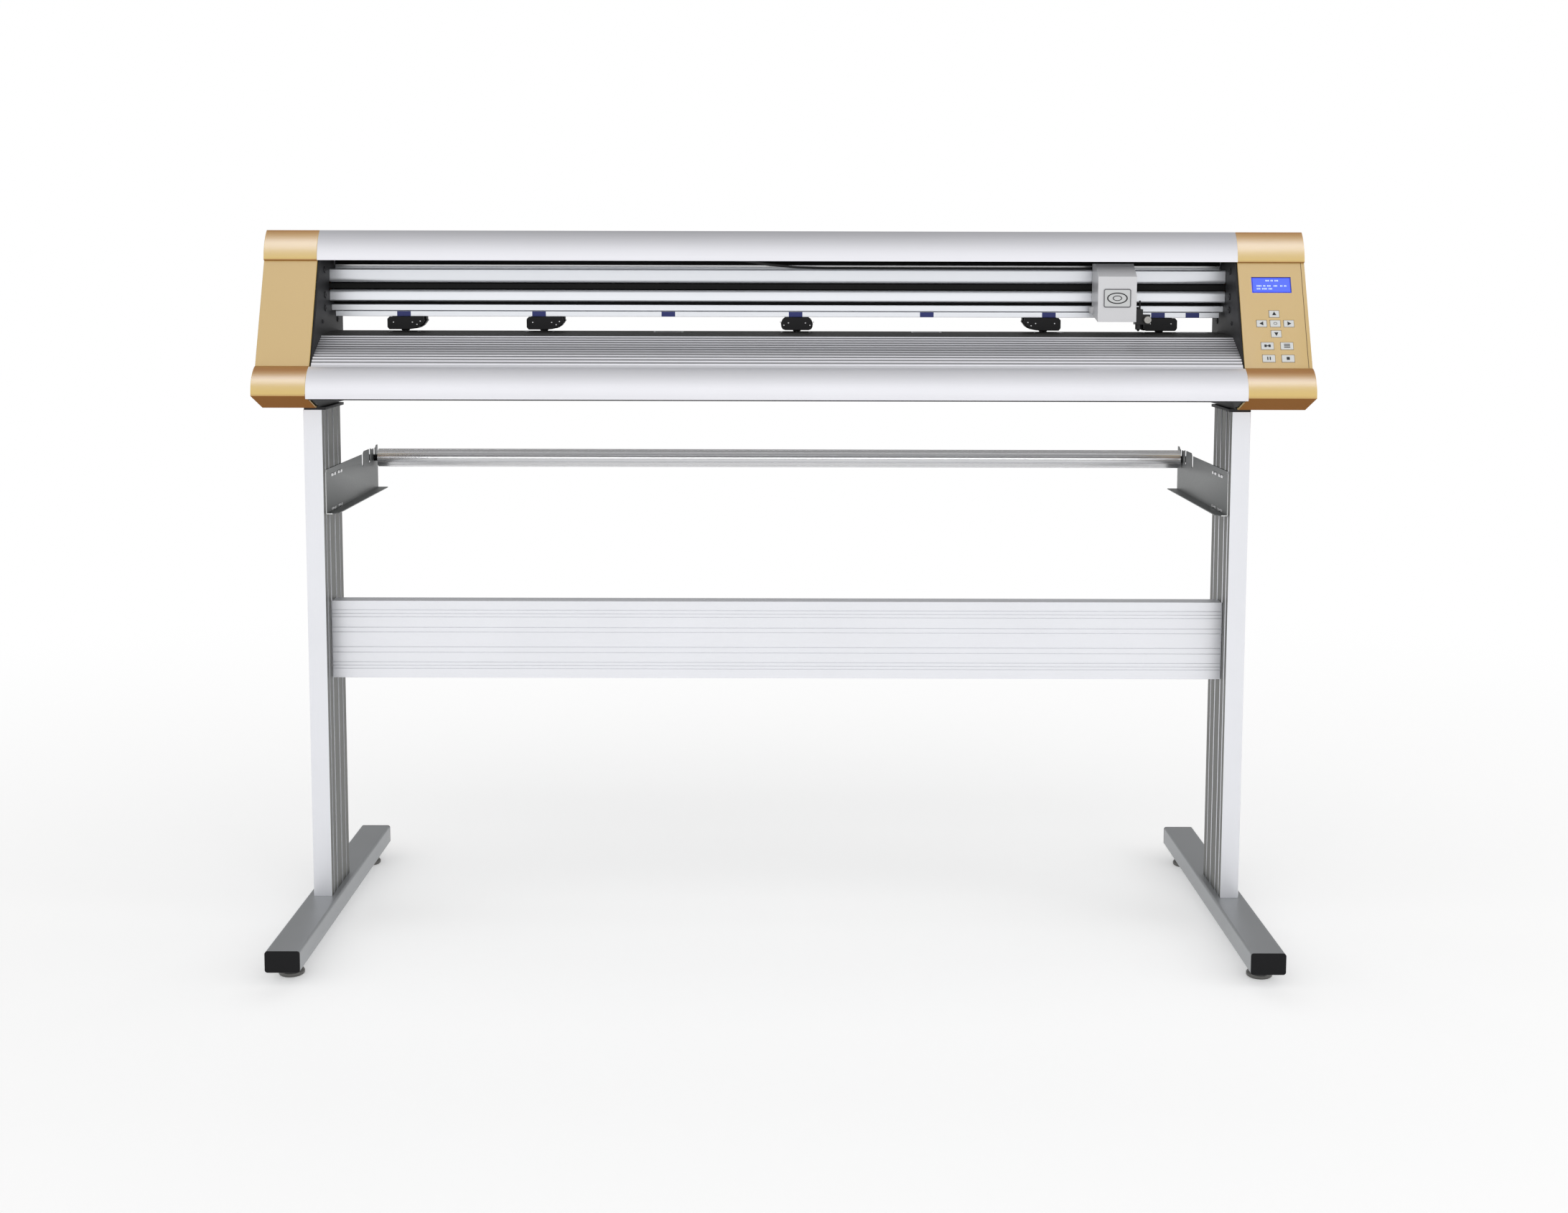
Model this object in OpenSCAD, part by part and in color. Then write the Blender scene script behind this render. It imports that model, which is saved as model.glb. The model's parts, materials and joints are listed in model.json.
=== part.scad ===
// Floor-standing vinyl cutter: stand, body, carriage, media feed and control panel.
// X runs along the beam to the right, Y to the rear and Z up; the floor is Z = 0.

/* [Body] */
// Width over the two end caps
overall_w = 1560; // [1300:10:1900]
// Width of the left end cap
left_cap_w = 80; // [78:1:90]
// Width of the right end cap, which holds the control panel
right_cap_w = 100; // [100:1:110]
// Height of the body's underside above the floor
body_z = 807; // [780:1:900]
// Wall thickness of the end caps
cap_wall = 3; // [2:0.5:4]
// Thickness of the steel side plates
plate_t = 3; // [2:0.5:4]

/* [Stand] */
// Depth over the feet's end plugs
stand_d = 636; // [600:2:700]
// Width over the two posts
stand_w = 1426; // [1180:2:1760]
// Sideways place of the stand's centre
stand_x = -10; // [-12:1:0]
// Width of a foot tube
foot_w = 50; // [46:1:56]
// Height of a foot tube
foot_h = 31; // [30:1:36]
// Clear height under a foot tube
foot_drop = 20; // [20:1:24]
// Width of a post
post_w = 28; // [26:1:32]
// Depth of a post
post_d = 120; // [110:1:130]
// Height of the crossbar
crossbar_h = 120; // [100:1:130]
// Height of the crossbar's underside above the floor
crossbar_z = 386; // [300:1:450]

/* [Media roll holder] */
// Radius of the media roller
roller_r = 15.3; // [13:0.1:18]
// Height of the roller's axis above the floor
roller_z = 697; // [680:1:720]
// Width of the bracket's slots
slot_w = 12; // [11.6:0.1:14]

/* [Cutting parts] */
// Radius of the grit rollers
grit_r = 10.3; // [10:0.1:10.5]
// Radius of the pinch wheels
pinch_r = 9; // [8.5:0.1:9.1]
// Middle of the carriage at rest
carriage_x = 501; // [-500:1:560]
// Radius of the belt pulleys
pulley_r = 7.2; // [7:0.1:7.4]

/* [Hidden] */

gold = [0.80, 0.66, 0.40];
silver = [0.86, 0.87, 0.90];
grey = [0.50, 0.51, 0.52];
black = [0.07, 0.07, 0.08];
steel = [0.62, 0.62, 0.64];

// Running clearance of a shaft in its bore, and the gap left between moving neighbours
fit_gap = 0.05;
part_gap = 0.3;

// Inner faces of the end caps, and the inner faces of the side plates
left_x = -overall_w / 2 + left_cap_w;
right_x = overall_w / 2 - right_cap_w;
inner_left = left_x + plate_t;
inner_right = right_x - plate_t;
plate_inset = 4.2;

// Side outline of the end caps, as [depth, height above the body's underside]
top_front = [-38, 265];
top_lip = [-60, 220];
panel_top = [-57, 219];
panel_bottom = [-121.5, 64];
nose_top = [-125, 63.5];
nose_low = [-150, 21];
top_bulge = 5.5;
nose_bulge = 8;
cap_points = concat(
    bulge(top_front, top_lip, top_bulge),
    [panel_top, panel_bottom],
    bulge(nose_top, nose_low, nose_bulge),
    [[-87, 0], [96, 0], [96, 150], [62, 255], [50, 265]]
);
panel_run = panel_bottom - panel_top;
panel_tilt = atan2(-panel_run.y, -panel_run.x);

// Outline of the platen, rear to front, then down the nose
deck_z = 112;
deck_points = concat(
    [[92, 17], [92, 92], [60, deck_z], [9, deck_z], [-53, 107], [-98, 84], [-111, 76]],
    bulge(nose_top, nose_low, nose_bulge),
    [[-149, 17]]
);
rib_start = [-54.6, 105.4];
rib_bend = [-110.6, 75.9];
rib_end = [-120.1, 67.4];
rib_count = 10;
rib_r = 1.5;

// Feed and pinch rollers
feed_y = 20;
grit_z = deck_z + part_gap - grit_r;
grit_w = 40;
grit_x = [-585, -377, -178, 18, 220, 408, 576, 629];
shaft_r = 6;
wheel_z = deck_z + 2 * part_gap + pinch_r;
wheel_w = 12;
axle_r = 2;
pinch_x = [-584, -370, 20, 400, 579];
bar_z = 135;
holder_w = 50;
lever_y = 67;
lever_z = 150;

// Beam
rail_front = 5;
rail_low = 158.5;
slot_low = 176;
slot_high = 187;
rail_high = 208;
beam_back = 42;

// Drive belt and its pulleys
belt_y = 17.5;
belt_z = 177.5;
belt_h = 8;
belt_t = 1.5;
idler_x = left_x - 22;
drive_x = right_x + 32;

// Carriage
carriage_w = 58;
blade_x = carriage_x + 35;
blade_y = -33;

// Stand
foot_x = stand_w / 2 - post_w / 2;
foot_stop = stand_d / 2 - 3;
pad_y = stand_d / 2 - 53;
post_front = -70;
flange_t = 4;
flange_w = 33;
post_top = body_z - flange_t;
foot_top = foot_drop + foot_h;
post_in = stand_w / 2 - post_w;
bracket_top = 711;
bracket_low = 643;
roller_y = 292;
slot_y = [200, 255, roller_y];
pin_r = 5.6;
bracket_sheet = 1.5;

// Control panel: middle of each key as [x, distance down the panel], and the key sizes
small_key = [14.8, 10.4];
wide_key = [18.4, 11];
display_at = [728.5, 35.5];
display_size = [58, 24.4];
key_up_at = [729.1, 82];
key_left_at = [709.6, 97.4];
key_centre_at = [729.8, 97.4];
key_right_at = [750, 97.4];
key_down_at = [730.1, 113.7];
key_online_at = [715.7, 132.8];
key_menu_at = [744.6, 132.8];
key_pause_at = [716.5, 152.6];
key_reset_at = [744.9, 152.6];
small_keys = [key_up_at, key_left_at, key_centre_at, key_right_at, key_down_at];
wide_keys = [key_online_at, key_menu_at, key_pause_at, key_reset_at];

// Power inlet and switch on the rear of the left cap
inlet_x = -742;
inlet_z = 55;
switch_z = 88;

// Points of an arc from p to q that bulges to the right of the line between them
function bulge(p, q, rise, steps = 12) =
    let (
        half = norm(q - p) / 2,
        r = (half * half + rise * rise) / (2 * rise),
        along = atan2(q.y - p.y, q.x - p.x),
        middle = (p + q) / 2 + (r - rise) * [-sin(along), cos(along)],
        reach = asin(half / r)
    )
    [for (i = [0:steps])
        let (a = along - 90 - reach + 2 * reach * i / steps)
        middle + r * [cos(a), sin(a)]];

// A counter-clockwise outline moved inwards by d
function unit(v) = v / norm(v);
function inset(points, d) =
    let (n = len(points))
    [for (i = [0:n - 1])
        let (
            before = unit(points[i] - points[(i + n - 1) % n]),
            after = unit(points[(i + 1) % n] - points[i]),
            a = [-before.y, before.x],
            b = [-after.y, after.x]
        )
        points[i] + d * (a + b) / (1 + a * b)];

// Extrudes a [depth, height] outline from x0 to x1
module along_x(x0, x1) {
    translate([x0, 0, 0]) rotate([90, 0, 90]) linear_extrude(x1 - x0) children();
}

// Extrudes an [x, height] outline from y0 to y1
module along_y(y0, y1) {
    translate([0, y1, 0]) rotate([90, 0, 0]) linear_extrude(y1 - y0) children();
}

// Rod along X
module rod_x(x0, x1, y, z, r) {
    translate([x0, y, z]) rotate([0, 90, 0]) cylinder(h = x1 - x0, r = r, $fn = 48);
}

// Draws a right-hand part, or its mirror image when side is -1
module to_side(side) {
    if (side > 0) children();
    else mirror([1, 0, 0]) children();
}

// Block between two corners
module block(low, high) {
    translate(low) cube(high - low);
}

module round_rect(w, h, r) {
    square([w - 2 * r, h], center = true);
    square([w, h - 2 * r], center = true);
    for (sx = [-1, 1], sy = [-1, 1]) {
        translate([sx * (w / 2 - r), sy * (h / 2 - r)]) circle(r, $fn = 32);
    }
}

// Raises the machine body's parts to their height over the floor
module on_body() {
    translate([0, 0, body_z]) children();
}

// Local frame on the sloping control panel: Z out of the panel, Y up the slope
module on_panel(at) {
    translate([at.x, panel_top.x, panel_top.y])
        rotate([panel_tilt, 0, 0])
        translate([0, -at.y, 0])
        children();
}

// ---- Stand ----

module foot_tube(side) {
    tube_wall = 2;
    color(grey) difference() {
        translate([stand_x + side * foot_x, 0, foot_drop + foot_h / 2])
            along_y(-foot_stop, foot_stop)
            difference() {
                round_rect(foot_w, foot_h, 4);
                square([foot_w - 2 * tube_wall, foot_h - 2 * tube_wall], center = true);
            }
        for (end = [-1, 1]) {
            translate([stand_x + side * foot_x, end * pad_y, foot_drop - 1])
                cylinder(h = tube_wall + 2, r = 6, $fn = 48);
        }
    }
}

module left_foot_tube() {
    foot_tube(-1);
}

module right_foot_tube() {
    foot_tube(1);
}

module foot_plugs() {
    color(black)
    for (side = [-1, 1], end = [-1, 1]) {
        translate([stand_x + side * foot_x, end * foot_stop, foot_drop + foot_h / 2]) {
            along_y(min(0, 3 * end), max(0, 3 * end)) round_rect(foot_w, foot_h, 4);
            along_y(min(0, -15 * end), max(0, -15 * end)) round_rect(foot_w - 4.6, foot_h - 4.6, 2);
        }
    }
}

// Pad, jam nut and threaded stem of one levelling foot
module levelling_foot(side, end) {
    translate([stand_x + side * foot_x, end * pad_y, 0]) {
        color(black) rotate_extrude($fn = 64)
            polygon([[0, 0], [17, 0], [18.5, 1.5], [18.5, 5], [16.5, 7.5], [9, 11], [7, 13], [0, 13]]);
        color(steel) translate([0, 0, 13]) cylinder(h = foot_drop - 13 - part_gap, r = 9, $fn = 6);
        color(steel) translate([0, 0, 13]) cylinder(h = foot_drop + 10, r = 5, $fn = 48);
    }
}

module levelling_foot_1() {
    levelling_foot(-1, -1);
}

module levelling_foot_2() {
    levelling_foot(1, -1);
}

module levelling_foot_3() {
    levelling_foot(-1, 1);
}

module levelling_foot_4() {
    levelling_foot(1, 1);
}

// Hollow post with shallow grooves in its inner side; side is -1 left or 1 right
module post(side) {
    groove_y = [12, 30, 66, 98];
    groove_w = [5, 10, 8, 4];
    color(silver)
    translate([stand_x, post_front, foot_top])
    to_side(side)
    linear_extrude(post_top - foot_top)
    difference() {
        translate([post_in, 0]) square([post_w, post_d]);
        for (y = [4, 62]) translate([post_in + 4, y]) square([post_w - 7, 54]);
        for (i = [0:3]) {
            translate([post_in - 1, groove_y[i]]) square([2.5, groove_w[i]]);
        }
    }
}

module left_post() {
    post(-1);
}

module right_post() {
    post(1);
}

// Grooved and hollow crossbar between the posts
module crossbar() {
    bar_front = -32;
    bar_d = 31.5;
    grooves = [0.117, 0.163, 0.206, 0.343, 0.403, 0.596, 0.667, 0.793, 0.838, 0.878];
    color(silver)
    along_x(stand_x - post_in, stand_x + post_in)
    translate([bar_front, crossbar_z])
    difference() {
        square([bar_d, crossbar_h]);
        for (low = [3, crossbar_h / 2 + 1.5]) {
            translate([3, low]) square([bar_d - 6, crossbar_h / 2 - 4.5]);
        }
        for (part = grooves) {
            translate([-1, crossbar_h * (1 - part) - 0.6]) square([2, 1.2]);
        }
    }
}

// Bent sheet bracket with open slots for the roller's pins
module roll_bracket(side) {
    sheet = bracket_sheet;
    flange = 18;
    back = stand_d / 2;
    web_points = [
        [-58, bracket_low], [back, bracket_low], [back, bracket_top + 6],
        [back - 8, bracket_top + 6], [back - 14, bracket_top + 2], [270, bracket_top + 2],
        [262, bracket_top + 4], [212, bracket_top + 4], [206, bracket_top],
        [-54, bracket_top], [-58, bracket_top - 4]
    ];
    color(grey)
    translate([stand_x, 0, 0]) to_side(side) {
        along_x(post_in - sheet, post_in) difference() {
            polygon(web_points);
            for (y = slot_y) {
                translate([y, roller_z]) circle(slot_w / 2, $fn = 48);
                translate([y - slot_w / 2, roller_z]) square([slot_w, 40]);
            }
        }
        translate([0, 0, bracket_low])
            linear_extrude(sheet)
            polygon([
                [post_in - flange, -46], [post_in - flange + 8, -58], [post_in - sheet, -58],
                [post_in - sheet, back], [post_in - flange, back]
            ]);
    }
}

module left_roll_bracket() {
    roll_bracket(-1);
}

module right_roll_bracket() {
    roll_bracket(1);
}

// Fluted tube with a pin in each end, resting in the rearmost slots
module media_roller() {
    roller_left = stand_x - post_in + 9;
    roller_right = stand_x + post_in - 4;
    pin_reach = 10;
    flutes = 16;
    plug = 20;
    translate([0, roller_y, roller_z]) {
        color(silver) along_x(roller_left, roller_right) difference() {
            circle(roller_r, $fn = 96);
            circle(roller_r - 2.3, $fn = 96);
            for (i = [0:flutes - 1]) {
                rotate(i * 360 / flutes) translate([roller_r, 0]) circle(0.6, $fn = 16);
            }
        }
        color(black) {
            rod_x(roller_left, roller_left + plug, 0, 0, roller_r - 2.3);
            rod_x(roller_right - plug, roller_right, 0, 0, roller_r - 2.3);
            rod_x(stand_x - post_in - pin_reach, roller_left + 1, 0, 0, pin_r);
            rod_x(roller_right - 1, stand_x + post_in + pin_reach, 0, 0, pin_r);
        }
    }
}

// Weld nuts of the levelling feet, crossbar bolts, and bracket screws on their long washers
module stand_fasteners() {
    nut_low = foot_drop + 2;
    washer = [1.2, 27, 4];
    washer_face = post_in - bracket_sheet - washer.x;
    color(steel)
    for (side = [-1, 1]) {
        for (end = [-1, 1]) {
            translate([stand_x + side * foot_x, end * pad_y, nut_low]) difference() {
                cylinder(h = 10, r = 9, $fn = 6);
                translate([0, 0, -1]) cylinder(h = 12, r = 5 + fit_gap, $fn = 48);
            }
        }
        translate([stand_x, 0, 0]) to_side(side) {
            for (z = [crossbar_z + 30, crossbar_z + 90]) {
                rod_x(stand_w / 2, stand_w / 2 + 4, -16, z, 6.5);
            }
            for (y = [-13, 31], z = [bracket_low + 4.5, bracket_top - 11]) {
                translate([washer_face, y - washer.y / 2, z - washer.z / 2]) cube(washer);
                rod_x(washer_face - 1.5, washer_face, y, z, 1.9);
            }
        }
    }
}

// ---- Machine body ----

module cap_shell(outer_x, inner_x, wall_x) {
    difference() {
        along_x(min(outer_x, inner_x), max(outer_x, inner_x)) polygon(cap_points);
        along_x(min(wall_x, inner_x), max(wall_x, inner_x)) polygon(inset(cap_points, cap_wall));
    }
}

// Left cap, with a cut-out at the rear for the power inlet
module left_cap() {
    color(gold) on_body() difference() {
        cap_shell(-overall_w / 2, left_x, -overall_w / 2 + cap_wall);
        block([inlet_x - 23, 90, inlet_z - 21], [inlet_x + 23, 98, switch_z + 16]);
    }
}

// Right cap, with a window for the display and a hole for each key
module right_cap() {
    color(gold) on_body() difference() {
        cap_shell(overall_w / 2, right_x, overall_w / 2 - cap_wall);
        panel_cut(display_at, display_size);
        for (at = small_keys) panel_cut(at, small_key);
        for (at = wide_keys) panel_cut(at, wide_key);
    }
}

module panel_cut(at, size) {
    on_panel(at) cube([size.x + 1, size.y + 1, 4 * cap_wall], center = true);
}

// Steel side plate with a foot flange, bores for the shafts and a window for the belt
module side_plate(x0, flange_x) {
    low = min(x0, flange_x);
    difference() {
        union() {
            along_x(x0, x0 + plate_t) {
                polygon(inset(cap_points, plate_inset));
                translate([-80, 0]) square([172, 10]);
            }
            block([low, post_front, -flange_t], [low + flange_w, post_front + post_d, 0]);
        }
        block([x0 - 1, belt_y - 14, belt_z - 3], [x0 + plate_t + 1, belt_y + 14, belt_z + belt_h + 3]);
        rod_x(x0 - 1, x0 + plate_t + 1, feed_y, grit_z, shaft_r + fit_gap);
        rod_x(x0 - 1, x0 + plate_t + 1, lever_y, lever_z, shaft_r - 1 + fit_gap);
    }
}

// Left plate, with the bracket and the pin that carry the idler pulley
module left_side_plate() {
    color(black) on_body() {
        side_plate(left_x, left_x - 22);
        block([idler_x - 9, belt_y - 9, belt_z - 7], [left_x, belt_y + 9, belt_z - 4]);
        translate([idler_x, belt_y, belt_z - 4]) cylinder(h = belt_h + 8, r = 3, $fn = 48);
    }
}

module right_side_plate() {
    color(black) on_body() side_plate(inner_right, inner_right - 7);
}

// Silver cover extrusion over the beam, open below
module top_cover() {
    cover_t = 2.5;
    rear_edge = 185;
    color(silver) on_body() {
        along_x(left_x, right_x) difference() {
            polygon(cap_points);
            polygon(inset(cap_points, cover_t));
            translate([-200, -10]) square([210, top_lip.y + 10]);
            translate([0, -10]) square([200, rear_edge + 10]);
        }
        along_x(inner_left, inner_right) translate([top_lip.x + 0.5, top_lip.y]) square([9, cover_t]);
    }
}

// Ribbed media platen with a rounded nose and windows over the grit rollers
module platen() {
    skin = 3;
    window_w = 46;
    window_d = 26;
    color(silver) on_body() difference() {
        union() {
            along_x(inner_left, inner_right) difference() {
                union() {
                    polygon(deck_points);
                    platen_ribs();
                }
                polygon(inset(deck_points, skin));
                translate([-200, -10]) square([75, 200]);
                translate([-130, -10]) square([300, 70]);
            }
            along_x(left_x, right_x) difference() {
                polygon(deck_points);
                polygon(inset(deck_points, skin));
                translate([-125, -10]) square([300, 200]);
                translate([-137, -10]) square([300, 31]);
            }
        }
        for (x = grit_x) {
            block([x - window_w / 2, feed_y - window_d / 2, deck_z - 10],
                  [x + window_w / 2, feed_y + window_d / 2, deck_z + 5]);
        }
    }
}

// Round ribs down both slopes of the deck, in front of the rollers
module platen_ribs() {
    for (i = [0:rib_count - 1]) {
        translate(rib_start + (rib_bend - rib_start) * i / (rib_count - 1)) circle(rib_r, $fn = 24);
    }
    for (part = [0.5, 1]) {
        translate(rib_bend + (rib_end - rib_bend) * part) circle(rib_r, $fn = 24);
    }
}

// Folded sheet tray that closes the body from below
module base_tray() {
    sheet = 2;
    color(black) on_body()
    along_x(inner_left, inner_right) {
        translate([-144, 15]) square([232, sheet]);
        translate([86, 15]) square([sheet, 65]);
    }
}

// Hollow beam with two rails, a belt slot between them and a cable trough on top
module main_beam() {
    rail_points = [
        [beam_back, 0], [beam_back, 21], [rail_front + 1, 21], [rail_front, 19], [rail_front, 6],
        [rail_front + 1, 2.5], [rail_front + 4, 0]
    ];
    color(silver) on_body()
    along_x(inner_left, inner_right) {
        difference() {
            union() {
                translate([0, slot_high]) polygon(rail_points);
                translate([0, slot_low]) mirror([0, 1])
                    polygon([for (p = rail_points) [p.x, p.y * (slot_low - rail_low) / 21]]);
            }
            translate([rail_front + 5, slot_high + 3]) square([beam_back - rail_front - 9, 14]);
            translate([rail_front + 5, rail_low + 3]) square([beam_back - rail_front - 9, 11.5]);
        }
        translate([beam_back - 8, 144]) square([8, slot_high - 144]);
        translate([17, 144]) square([beam_back - 17, 9]);
        translate([beam_back - 3, rail_high - 1]) square([3, 26]);
    }
}

// ---- Pinch rollers ----

// Bar that carries the five holders and lifts with the lever
module pinch_bar() {
    color(silver) on_body()
    along_x(inner_left + 7, inner_right - 7) {
        translate([13, bar_z]) square([3, 8]);
        translate([13, bar_z]) square([45, 3]);
        translate([55, bar_z]) square([3, 11]);
    }
}

// Cam shaft behind the beam with its hand lever
module lift_lever() {
    cam_x = [-560, -8, 520];
    color(steel) on_body() {
        rod_x(left_x, right_x, lever_y, lever_z, shaft_r - 1);
        for (x = cam_x) rod_x(x - 8, x + 8, lever_y + 0.8, lever_z, 7);
    }
    color(black) on_body() translate([598, lever_y, lever_z]) rotate([-28, 0, 0]) {
        rod_x(-7, 7, 0, 0, 8);
        block([-4, 4, -3], [4, 44, 3]);
        translate([0, 40, 0]) rotate([-90, 0, 0]) cylinder(h = 22, r = 8, $fn = 48);
    }
}

// Moulded holder with a pocket for the wheel and its axle
module pinch_holder(x) {
    top = bar_z - part_gap;
    low = deck_z + 3;
    front = 6;
    back = 46;
    pocket = wheel_w / 2 + 0.6;
    color(black) on_body() translate([x, 0, 0]) {
        difference() {
            along_y(front, back)
                polygon([
                    [-holder_w / 2 + 6, low], [holder_w / 2 - 6, low], [holder_w / 2, low + 7],
                    [holder_w / 2, top - 4], [holder_w / 2 - 4, top], [-holder_w / 2 + 4, top],
                    [-holder_w / 2, top - 4], [-holder_w / 2, low + 7]
                ]);
            block([-pocket, feed_y - 10.5, low - 1], [pocket, feed_y + 10.5, wheel_z + pinch_r + 1]);
            for (side = [-1, 1]) {
                block([side * 16 - 6, front + 3, low - 1], [side * 16 + 6, back - 3, top - 4]);
            }
        }
        rod_x(-pocket - 1, pocket + 1, feed_y, wheel_z, axle_r);
    }
}

module pinch_holder_1() {
    pinch_holder(pinch_x[0]);
}

module pinch_holder_2() {
    pinch_holder(pinch_x[1]);
}

module pinch_holder_3() {
    pinch_holder(pinch_x[2]);
}

module pinch_holder_4() {
    pinch_holder(pinch_x[3]);
}

module pinch_holder_5() {
    pinch_holder(pinch_x[4]);
}

module pinch_wheel(x) {
    color(black) on_body() translate([x - wheel_w / 2, feed_y, wheel_z]) rotate([0, 90, 0])
    difference() {
        cylinder(h = wheel_w, r = pinch_r, $fn = 64);
        translate([0, 0, -1]) cylinder(h = wheel_w + 2, r = axle_r + fit_gap, $fn = 48);
    }
}

module pinch_wheel_1() {
    pinch_wheel(pinch_x[0]);
}

module pinch_wheel_2() {
    pinch_wheel(pinch_x[1]);
}

module pinch_wheel_3() {
    pinch_wheel(pinch_x[2]);
}

module pinch_wheel_4() {
    pinch_wheel(pinch_x[3]);
}

module pinch_wheel_5() {
    pinch_wheel(pinch_x[4]);
}

// ---- Carriage drive ----

// Closed loop round both pulleys
module drive_belt() {
    color(black) on_body() translate([0, 0, belt_z]) linear_extrude(belt_h) difference() {
        belt_loop(pulley_r + part_gap + belt_t);
        belt_loop(pulley_r + part_gap);
    }
}

module belt_loop(r) {
    translate([idler_x, belt_y]) circle(r, $fn = 64);
    translate([drive_x, belt_y]) circle(r, $fn = 64);
    translate([idler_x, belt_y - r]) square([drive_x - idler_x, 2 * r]);
}

// Pulley with a rim below and above the belt
module pulley(x) {
    translate([x, belt_y, belt_z - 2]) {
        cylinder(h = belt_h + 4, r = pulley_r, $fn = 64);
        for (z = [0, belt_h + 2.8]) {
            translate([0, 0, z]) cylinder(h = 1.2, r = pulley_r + 2.5, $fn = 64);
        }
    }
}

// Pulley on the carriage motor's shaft
module drive_pulley() {
    color(steel) on_body() {
        pulley(drive_x);
        translate([drive_x, belt_y, belt_z - 16]) cylinder(h = 20, r = 3.2, $fn = 48);
    }
}

module idler_pulley() {
    color(steel) on_body() difference() {
        pulley(idler_x);
        translate([idler_x, belt_y, belt_z - 4]) cylinder(h = belt_h + 9, r = 3 + fit_gap, $fn = 48);
    }
}

module motor_outline() {
    frame = 57;
    round_rect(frame, frame, 5);
}

// Stepper motor under the drive pulley, on a bracket from the side plate
module carriage_motor() {
    top = belt_z - 9;
    length = 52;
    color(black) on_body() difference() {
        union() {
            translate([drive_x, belt_y, top - length]) linear_extrude(length) motor_outline();
            block([right_x, belt_y - 20, top - 34], [drive_x - 28, belt_y + 20, top]);
        }
        translate([drive_x, belt_y, top - 8]) cylinder(h = 9, r = 3.2 + fit_gap, $fn = 48);
    }
}

// ---- Carriage ----

// Plate that hooks over the upper rail and under the lower rail
module carriage_plate() {
    half = 24;
    hook_back = 14;
    color(steel) on_body() translate([carriage_x, 0, 0]) {
        block([-half, -4, 154.6], [half, rail_front - 0.6, 212]);
        block([-half, -4, rail_high + part_gap], [half, hook_back, 212]);
        block([-half, -4, 154.6], [half, hook_back, rail_low - part_gap]);
        block([-6, 0, slot_low + 3], [6, belt_y - pulley_r - belt_t - 2 * part_gap, slot_high - 3]);
    }
}

// Moulded cover of the carriage, open to the rear, with a window for the tool arm
module carriage_housing() {
    wall = 2.5;
    outline = [
        [-57, 130], [2, 141], [2, 217.5], [-26, 217.5], [-57, 198]
    ];
    inner = [
        [-57 + wall, 130 + wall + 0.7], [3, 141 + wall + 0.7], [3, 217.5 - wall],
        [-26 + wall / 4, 217.5 - wall], [-57 + wall, 198 - wall / 2]
    ];
    half = carriage_w / 2;
    color([0.80, 0.80, 0.81]) on_body() translate([carriage_x, 0, 0]) difference() {
        union() {
            along_x(-half, half) polygon(outline);
            block([-half - 4, -12, 142], [-half, 2, 152]);
        }
        along_x(-half + wall, half - wall) polygon(inner);
        block([half - wall - 1, blade_y - 5, 137.8], [half + 1, blade_y + 5, 151]);
    }
}

// Clamp block on a tongue from the carriage, with two guide rods
module tool_arm() {
    color(black) on_body() difference() {
        union() {
            block([blade_x - 4.6, blade_y - 8, 126], [blade_x + 18, blade_y + 8, 141]);
            block([blade_x - 4.6, blade_y - 8, 126], [blade_x + 7, blade_y + 8, 149]);
            block([carriage_x + 12, blade_y - 3.5, 142], [blade_x - 4, blade_y + 3.5, 149]);
        }
        translate([blade_x + 1.4, blade_y, 120]) cylinder(h = 30, r = 4.5, $fn = 48);
        translate([blade_x + 13, blade_y - 9, 133]) rotate([-90, 0, 0])
            cylinder(h = 9, r = 2 + fit_gap, $fn = 48);
    }
    color(steel) on_body()
    for (x = [blade_x - 2, blade_x + 4.5]) {
        translate([x, blade_y + 6, 148]) cylinder(h = 14, r = 1.3, $fn = 32);
    }
}

// Round holder gripped by the clamp block, with the blade's tip below it
module blade_holder() {
    tip = deck_z + 3.4;
    color(black) on_body() translate([blade_x + 1.4, blade_y, 0]) {
        translate([0, 0, tip + 3]) cylinder(h = 31, r = 4.5, $fn = 48);
        translate([0, 0, tip]) cylinder(h = 3, r1 = 0.6, r2 = 3, $fn = 48);
        translate([0, 0, tip + 34]) cylinder(h = 3, r = 3, $fn = 48);
    }
}

// Screw that clamps the blade holder
module clamp_knob() {
    color(silver) on_body() translate([blade_x + 13, blade_y - 8.3, 133]) rotate([90, 0, 0]) {
        difference() {
            cylinder(h = 8, r = 5.4, $fn = 48);
            translate([-4, -0.6, 7]) cube([8, 1.2, 2]);
        }
        translate([0, 0, -7]) cylinder(h = 8, r = 2, $fn = 48);
    }
}

// Cable of the tool head, lying in the beam's trough
module head_cable() {
    cable_t = 3.5;
    top_path = [[-100, 222], [-60, 219], [-20, 213], [20, 209.5], [60, 208.4], [470, 208.4], [498, 208.4]];
    n = len(top_path);
    color(black) on_body() along_y(18, 30) polygon(concat(
        top_path,
        [for (i = [n - 1:-1:0]) top_path[i] + [0, cable_t]]
    ));
}

// ---- Media feed ----

// Long shaft with its knurled grit rollers
module grit_shaft() {
    color(steel) on_body() {
        rod_x(left_x - 8, right_x - 0.2, feed_y, grit_z, shaft_r);
        for (x = grit_x) rod_x(x - grit_w / 2, x + grit_w / 2, feed_y, grit_z, grit_r);
    }
}

// Sleeve that joins the grit shaft to the motor
module shaft_coupler() {
    color(silver) on_body() difference() {
        rod_x(left_x - 18, left_x - 1, feed_y, grit_z, 10);
        rod_x(left_x - 8, left_x, feed_y, grit_z, shaft_r);
    }
}

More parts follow.
